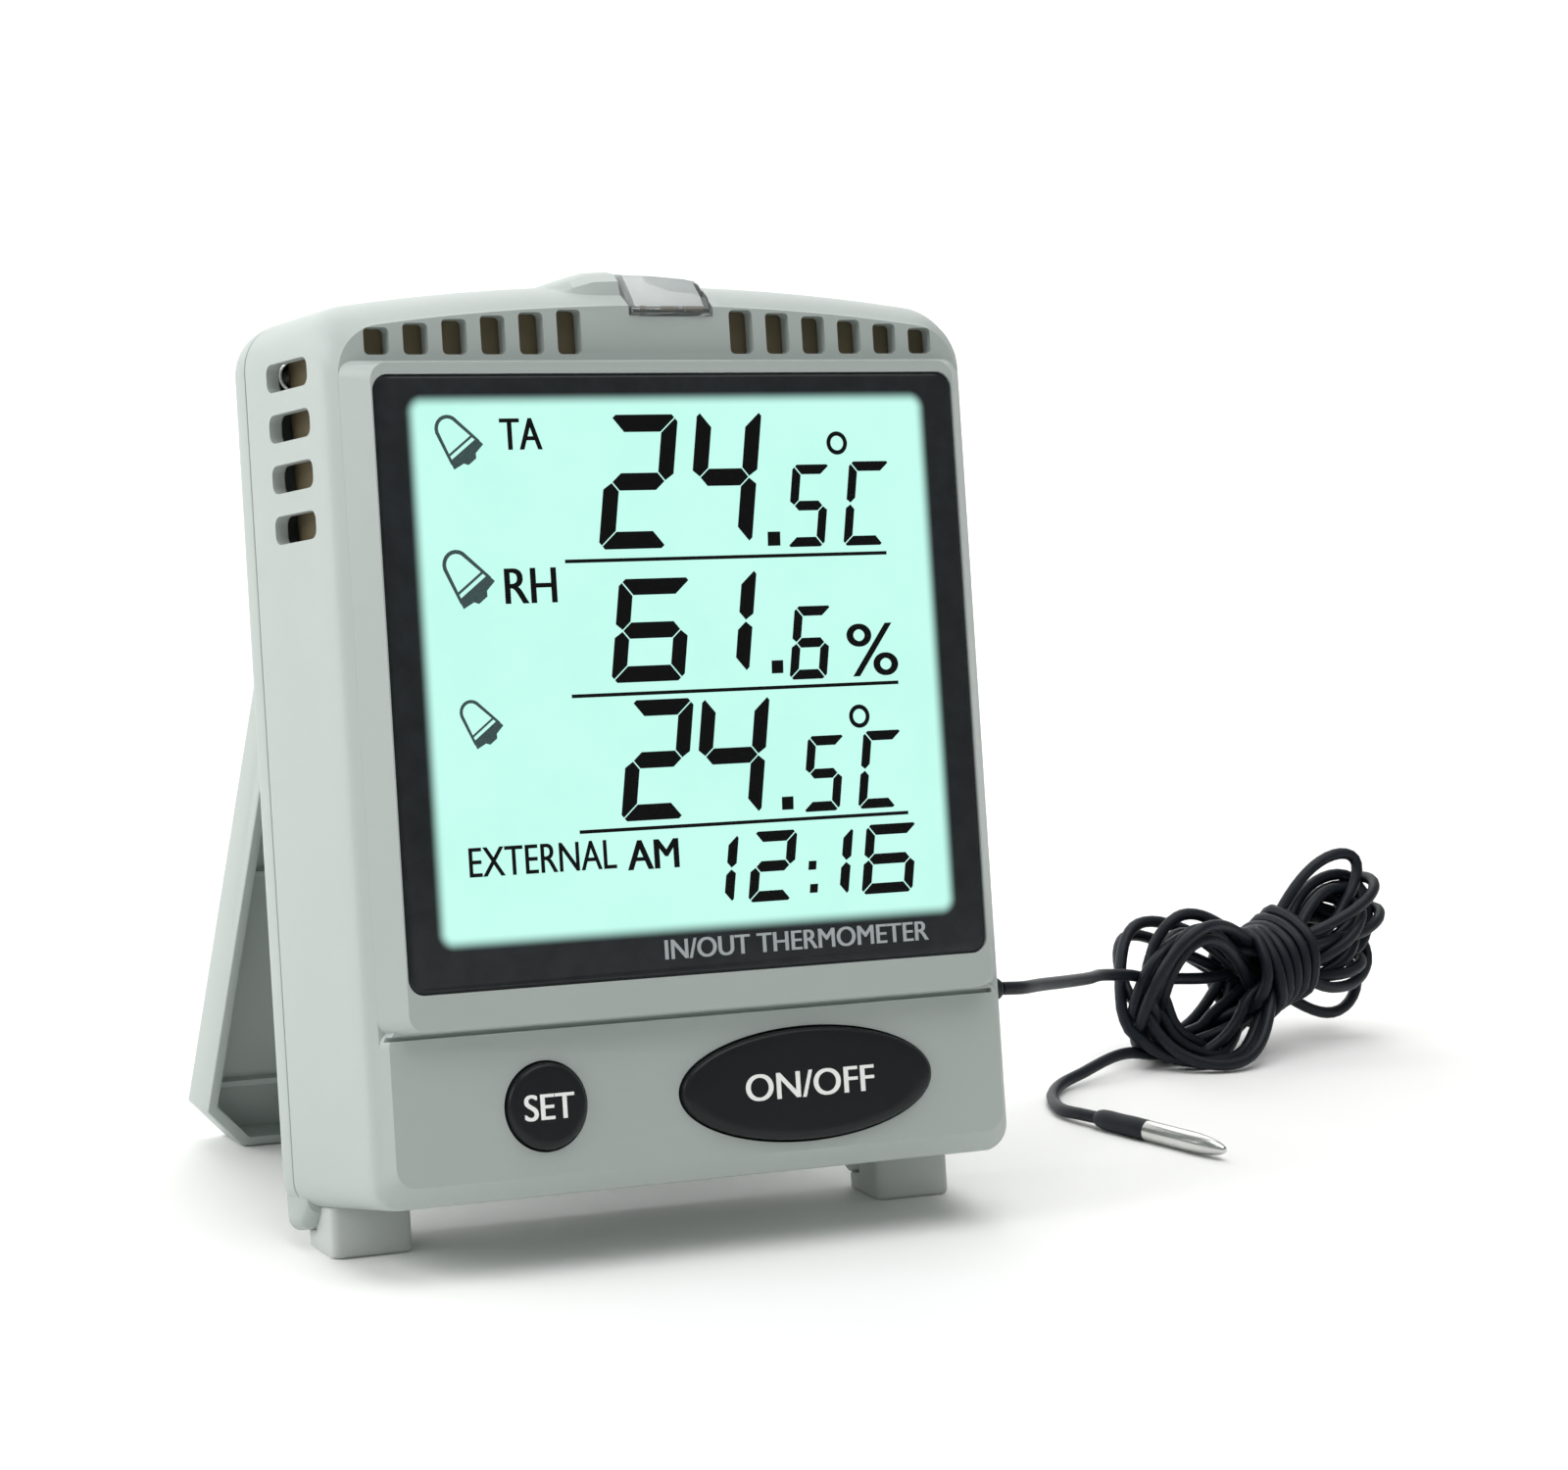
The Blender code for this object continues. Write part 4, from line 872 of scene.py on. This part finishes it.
def text_shape(words, left, bottom, high, wide, y, lift, weight):
    """Plain capitals scaled into a box; weight thickens the strokes by that many millimetres."""
    curve = bpy.data.curves.new("Letters", "FONT")
    curve.body = words
    curve.size = 10.0
    holder = bpy.data.objects.new("Letters", curve)
    bpy.context.scene.collection.objects.link(holder)
    graph = bpy.context.evaluated_depsgraph_get()
    graph.update()
    mesh = bpy.data.meshes.new_from_object(holder.evaluated_get(graph))
    bpy.data.objects.remove(holder, do_unlink=True)
    xs = [v.co.x for v in mesh.vertices]
    zs = [v.co.y for v in mesh.vertices]
    sx, sz = wide / (max(xs) - min(xs)), high / (max(zs) - min(zs))
    shape = bmesh.new()
    shape.from_mesh(mesh)
    bpy.data.meshes.remove(mesh)
    for vertex in shape.verts:
        x, z = vertex.co.x, vertex.co.y
        vertex.co = (left + (x - min(xs)) * sx - weight / 2, y, bottom + (z - min(zs)) * sz)
    bmesh.ops.remove_doubles(shape, verts=shape.verts, dist=1e-4)
    grown = bmesh.ops.extrude_face_region(shape, geom=shape.faces[:])
    for item in grown["geom"]:
        if isinstance(item, bmesh.types.BMVert):
            item.co.y += lift
    copied = bmesh.ops.duplicate(shape, geom=shape.faces[:])
    for item in copied["geom"]:
        if isinstance(item, bmesh.types.BMVert):
            item.co.x += weight
            item.co.y += INK_STEP
    return shape


def make_readout():
    shape = bmesh.new()
    for figure in FIGURES:
        add_digit(shape, *figure)
    for left, low, size, lean in POINTS:
        add_flat(shape, [(left, low), (left + size, low), (left + size + lean, low + size),
                         (left + lean, low + size)])
    inside = DEGREE_RADIUS - DEGREE_WIDTH
    for place in DEGREE_PLACES:
        outer = ellipse(place, DEGREE_RADIUS, DEGREE_RADIUS, 36)
        add_outline(shape, outer, ellipse(place, inside, inside, 36))
    for left, right, height in RULES:
        low, high = height - RULE_HALF, height + RULE_HALF
        add_flat(shape, [(left, low), (right, low), (right, high), (left, high)])
    piece("readout_figures", shape, CASE, SEGMENT_PAINT)

    for name, words, left, low, high, wide, paint, weight in WORDS:
        shape = text_shape(words, left, low, high, wide, INK_Y, INK_THICK, weight)
        piece(name, shape, CASE, paint)
    for name, x, z, size in BELLS:
        make_bell(name, x, z, size)


def make_bell(name, x, z, size):
    """A bell on its side: an outlined dome, its band and a solid rim with a clapper."""
    shape = bmesh.new()

    def put(points):
        return [(x + size * (a * math.cos(BELL_TURN) - b * math.sin(BELL_TURN)),
                 z + size * (a * math.sin(BELL_TURN) + b * math.cos(BELL_TURN))) for a, b in points]

    def dome(grow):
        top = arc((0, 2.2), 2.0 + grow, 160, 20, 8)
        return [(3.0 + grow, -2.4 - grow), *reversed(top), (-3.0 - grow, -2.4 - grow)]

    add_outline(shape, put(dome(0.32)), put(dome(-0.3)))
    add_flat(shape, put([(-2.7, -1.5), (-2.7, -1.1), (2.7, -1.1), (2.7, -1.5)]), BELL_INK_Y)
    add_flat(shape, put([(-3.4, -3.6), (-3.2, -2.5), (3.2, -2.5), (3.4, -3.6), (1.4, -3.9), (0.9, -4.6),
                         (-0.9, -4.6), (-1.4, -3.9)]), BELL_INK_Y)
    piece(name, shape, CASE, GREY_INK)


# ---------------------------------------------------------------- buttons

def make_button(name, node, body, place, halves, crown, words, box, text_name):
    """A domed cap: a low rounded edge and a crowned face, with its word printed on top."""
    a, b = halves
    rings = [facing(ellipse(place, a - inset, b - inset), y) for inset, y in CAP_EDGE]
    for i in range(1, FACE_RINGS + 1):
        share = 1 - i / (FACE_RINGS + 1)
        outline = ellipse(place, (a - FACE_INSET) * share, (b - FACE_INSET) * share)
        rings.append(facing(outline, FACE_Y - crown * (1 - share ** 2)))
    shape = made_by(add_loft, rings)
    cap = piece(name, shape, CASE, BUTTON_PAINT, body=body, sharp=50)
    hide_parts(node)
    left, low, wide, high = box
    shape = text_shape(words, left, low, high, wide, 0.0, 0.06, 0.22)
    bmesh.ops.triangulate(shape, faces=shape.faces[:])
    for vertex in shape.verts:
        dx = (vertex.co.x - place[0]) / (a - FACE_INSET)
        dz = (vertex.co.z - place[1]) / (b - FACE_INSET)
        share = min(dx * dx + dz * dz, 1.0)
        vertex.co.y += FACE_Y - crown * (1 - share) - WORD_SINK
    piece(text_name, shape, CASE, LETTER_INK, body=body)


def make_buttons():
    make_button("cap_set", "set_button", "set_button", SET_PLACE, SET_HALVES, 0.10,
                "SET", (-34.4, 12.8, 8.9, 4.3), "word_set")
    make_button("cap_power", "power_button", "power_button", POWER_PLACE, POWER_HALVES, 0.14,
                "ON/OFF", (6.6, 12.6, 24.6, 4.5), "word_on_off")


# ---------------------------------------------------------------- lens, rear cover, stand, feet

def make_lens():
    """The clear lens, a white core inside it that paints the lens's bright highlights, and dark boxes that
    paint the shade in the gaps under the core.
    """
    shape = made_by(add_loft, [upright(lens_section(top, 0.0), x) for x, top in LENS_SECTIONS])
    lens = piece("lens_clear", shape, CASE, CLEAR_PAINT)
    soften(lens, 0.5, 3, 25)
    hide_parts("alarm_lens")
    shape = made_by(add_loft, [upright(lens_section(top, -CORE_INSET), x) for x, top in CORE_SECTIONS])
    core = piece("lens_highlight_core", shape, CASE, LENS_HIGHLIGHT_PAINT)
    soften(core, 0.6, 3, 25)
    shade = bmesh.new()
    for left, right in SHADE_SPANS:
        add_box(shade, (left, 4.7, 146.4), (right, 5.1, 147.2))
    piece("lens_shade", shade, CASE, INSIDE_SHADE_PAINT)


def rear_foot(side):
    left, right = sorted((side * FOOT_SPAN[0], side * FOOT_SPAN[1]))
    rings = []
    for y, low, inner, outer in FOOT_SECTIONS:
        a, b = (left + outer, right - inner) if side < 0 else (left + inner, right - outer)
        rings.append(facing(rounded(a, b, low, FOOT_ROOT, 2.4, 5), y))
    return made_by(add_loft, rings)


def hinge_lug(side):
    outline = rounded(36.5, 46.3, 102.7, 109.3, 3.2, 8)
    return made_by(add_loft, [upright(outline, x) for x in sorted((side * 46.8, side * 51.6))])


def pin_holes(start, y, z):
    holes = bmesh.new()
    for side in (-1, 1):
        add_turned(holes, ((0, PIN_HOLE_RADIUS), (8, PIN_HOLE_RADIUS)), (side * start, y, z), (side, 0, 0))
    return holes


def make_rear_cover():
    shape = made_by(add_loft, [case_ring(y, inset) for y, inset in REAR_DEPTHS_INSETS])
    cover = piece("shell_rear", shape, CASE, CASE_PAINT)
    tools = [("DIFFERENCE", made_by(add_loft, [case_ring(y, WALL) for y in REAR_HOLLOW_DEPTHS]))]
    for side in (-1, 1):
        tools += [("UNION", rear_foot(side)), ("UNION", hinge_lug(side))]
    tools.append(("UNION", made_by(add_box, (-30, 22.5, 18.5), (30, 37, 48))))
    battery_bay = made_by(add_box, (-28.5, 24, 20), (28.5, 40, 46.5))
    door_seat = made_by(add_box, (-31.5, 36.2, 17), (31.5, 40, 49.5))
    screw_seats = bmesh.new()
    for x, z in SCREW_PLACES:
        add_turned(screw_seats, ((0, 2.7), (6, 2.7)), (x, 35.2, z), (0, 1, 0))
    back_recess = made_by(add_prism, rounded(-24, 24, 60, 92, 2, 5), 37.6, 40)
    grille = bmesh.new()
    for i in range(GRILLE_SLOTS):
        add_prism(grille, rounded(-18, 18, 118 + 3.4 * i, 119.6 + 3.4 * i, 0.75, 4), 35, 40)
    cut = (battery_bay, door_seat, screw_seats, pin_holes(48, *HINGE), back_recess, grille)
    carve(cover, tools + [("DIFFERENCE", shape) for shape in cut], CASE)
    soften(cover, 0.3)
    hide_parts("rear_cover")


def make_door():
    shape = made_by(add_prism, rounded(-31.2, 31.2, 17.3, 49.2, 1.2, 5), 36.5, 38.0)
    door = piece("door_battery", shape, CASE, CASE_PAINT, body="battery_door")
    grip = bmesh.new()
    for i in range(5):
        add_prism(grip, rounded(-9, 9, 44.2 - 1.7 * i, 45.1 - 1.7 * i, 0.4, 3), 37.5, 39)
    carve(door, [("DIFFERENCE", grip)], CASE)
    soften(door, 0.2)
    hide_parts("battery_door")


def make_stand():
    """The channel-shaped stand, shaped folded about its hinge and turned open."""
    hinge = Matrix.Translation((0, HINGE[0] * MM, HINGE[1] * MM)) @ Matrix.Rotation(STAND_ANGLE, 4, "X")
    place = CASE @ hinge

    def outline(y, inset, top):
        low = inset - STAND_LENGTH + (STAND_BACK - y) * math.tan(STAND_ANGLE - LEAN)
        half = STAND_HALF - inset
        chamfer = STAND_CHAMFER - inset * 0.4
        points = [(-half, low + chamfer), (-half + chamfer, low), (half - chamfer, low),
                  (half, low + chamfer), (half, top), (-half, top)]
        return [(x, y, z) for x, z in points]

    shape = made_by(add_loft, [outline(y, 0.0, STAND_TOP) for y in (STAND_FRONT, STAND_BACK)])
    plate = piece("stand_plate", shape, place, CASE_PAINT, body="stand")
    inside_ys = (STAND_FRONT - 2, STAND_BACK - STAND_WALL)
    inner = made_by(add_loft, [outline(y, STAND_WALL, 8.0) for y in inside_ys])
    notch = made_by(add_prism, rounded(-20, 20, -6, 12, 3), -8, 10)
    recess = made_by(add_prism, rounded(-43, 43, -92, -20, 4, 6), STAND_BACK - 0.5, STAND_BACK + 2)
    grip = bmesh.new()
    for i in range(5):
        groove = rounded(-16, 16, -98.4 - 2.6 * i, -97.2 - 2.6 * i, 0.55, 4)
        add_prism(grip, groove, STAND_BACK - 0.6, STAND_BACK + 2)
    cut = (inner, notch, pin_holes(51.9, 0, 0), recess, grip)
    carve(plate, [("DIFFERENCE", tool) for tool in cut], place)
    soften(plate, 0.5, 3)
    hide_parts("stand")
    ribs = bmesh.new()
    for x in RIB_XS:
        add_box(ribs, (x - RIB_HALF, 2.2, -110), (x + RIB_HALF, 4.1, -9))
    for z in RIB_ZS:
        add_box(ribs, (-52.1, 2.6, z - RIB_HALF), (52.1, 4.1, z + RIB_HALF))
    piece("stand_ribs", ribs, place, CASE_PAINT, body="stand")


def make_feet():
    """Rubber pads under the case and its back feet, cut level with the floor."""

    def floor_z(y):
        return (y * math.sin(LEAN) - CASE_LIFT) / math.cos(LEAN) + 0.05

    def pad_outline(inset):
        near, far = PAD_NEAR + inset, PAD_FAR - inset
        front_top, back_top = PAD_TOPS
        return [(near + 0.6, floor_z(near + 0.6)), (far, floor_z(far)), (far, back_top),
                (PAD_STEP_Y, back_top), (PAD_STEP_Y, front_top), (near, front_top),
                (near, floor_z(near) + 0.8)]

    for side, name in ((-1, "left"), (1, "right")):
        left, right = sorted((side * PAD_SPAN[0], side * PAD_SPAN[1]))
        rings = [upright(pad_outline(inset), left + reach) for reach, inset in PAD_ROUNDING]
        rings += [upright(pad_outline(inset), right - reach) for reach, inset in reversed(PAD_ROUNDING)]
        pad = piece("pad_" + name, made_by(add_loft, rings), CASE, RUBBER_PAINT)
        soften(pad, 0.3)
        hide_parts("foot_pad_" + name)


# ---------------------------------------------------------------- CAD nodes that stay

NODE_PAINTS = (
    (surface("InnerWhite", (0.72, 0.72, 0.69), 0.5, vary=0.05),
     ("lcd_holder", "probe_connector", "climate_sensor", "backlight_led_left", "backlight_led_right",
      "light_guide")),
    (surface("BoardGreen", (0.02, 0.16, 0.08), 0.35, grain=500.0, vary=0.2, clouds=60.0),
     ("main_board", "sensor_board")),
    (surface("BlackParts", (0.02, 0.02, 0.022), 0.4, vary=0.2), ("controller_blob", "buzzer")),
    (surface("Silicone", (0.34, 0.36, 0.37), 0.65, vary=0.05), ("keypad_mat",)),
    (surface("StripRubber", (0.30, 0.16, 0.18), 0.7, vary=0.2), ("connector_strip",)),
    (surface("LcdGlass", (0.35, 0.62, 0.56), 0.15, vary=0.03), ("lcd_panel",)),
    (surface("CellWrap", (0.05, 0.07, 0.10), 0.3, vary=0.1), ("cell_lower", "cell_upper")),
    (surface("LedTint", (0.45, 0.02, 0.015), 0.2, vary=0.08), ("alarm_led",)),
    (CABLE_PAINT, ("probe_strain_relief",)),
    (STEEL_PAINT, ("crystal", "hinge_pin_left", "hinge_pin_right", "battery_spring_lower",
                   "battery_spring_upper", "contact_plate_lower", "contact_plate_upper",
                   "spring_plate_lower", "spring_plate_upper",
                   *[f"case_screw_{i}" for i in range(1, 5)],
                   *[f"board_screw_{i}" for i in range(1, 5)])),
)


def paint_nodes():
    for paint, names in NODE_PAINTS:
        for name in names:
            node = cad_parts[name]
            node.data.materials.clear()
            node.data.materials.append(paint)


# ---------------------------------------------------------------- studio

FLOOR_HALF = 3000
FLOOR_FRONT = -2500
SWEEP_START = 600
SWEEP_RADIUS = 500
SWEEP_STEPS = 16
WALL_TOP = 2500
# name, place, target, size, power
LIGHTS = (
    ("KeyLeft", (-1.35, 0.05, 0.9), (0, 0, 0.08), 0.9, 11.5),
    ("Overhead", (0.1, -0.2, 1.5), (0, 0, 0), 1.4, 16.0),
    ("LeftBack", (-1.1, 0.9, 0.6), (-0.05, 0.03, 0.05), 0.8, 3.5),
    ("BackWash", (0.4, 0.75, 1.25), (0.4, 1.5, 0.8), 1.4, 12.0),
)


def make_backdrop():
    """A pale floor that sweeps up behind the object."""
    turns = [math.pi / 2 * i / SWEEP_STEPS for i in range(SWEEP_STEPS + 1)]
    sweep = [(SWEEP_START + SWEEP_RADIUS * math.sin(t), SWEEP_RADIUS - SWEEP_RADIUS * math.cos(t))
             for t in turns]
    profile = [(FLOOR_FRONT, 0), *sweep, (SWEEP_START + SWEEP_RADIUS, WALL_TOP)]
    shape = bmesh.new()
    rows = [[shape.verts.new((x, y, z)) for y, z in profile] for x in (-FLOOR_HALF, FLOOR_HALF)]
    for i in range(len(profile) - 1):
        shape.faces.new((rows[0][i], rows[1][i], rows[1][i + 1], rows[0][i + 1]))
    floor = surface("StudioFloor", (0.93, 0.93, 0.92), 0.8, grain=120.0, vary=0.004, strength=0.02)
    backdrop = piece("Backdrop", shape, Matrix.Identity(4), floor, body=None)


def make_light(name, place, target, size, power):
    data = bpy.data.lights.new(name, "AREA")
    data.shape = "SQUARE"
    data.size = size
    data.energy = power
    thing = bpy.data.objects.new(name, data)
    bpy.context.scene.collection.objects.link(thing)
    thing.location = place
    thing.rotation_euler = (Vector(target) - Vector(place)).to_track_quat("-Z", "Y").to_euler()


def make_studio():
    make_backdrop()
    world = bpy.data.worlds.new("Studio")
    world.use_nodes = True
    background = world.node_tree.nodes["Background"]
    background.inputs["Color"].default_value = (0.97, 1.0, 0.99, 1)
    background.inputs["Strength"].default_value = 0.30
    bpy.context.scene.world = world
    for light in LIGHTS:
        make_light(*light)
    bpy.context.scene.view_settings.view_transform = "Standard"


make_camera()
make_cord()
make_front_cover()
make_shade_screens()
make_display()
make_readout()
make_buttons()
make_lens()
make_rear_cover()
make_door()
make_stand()
make_feet()
paint_nodes()
make_studio()
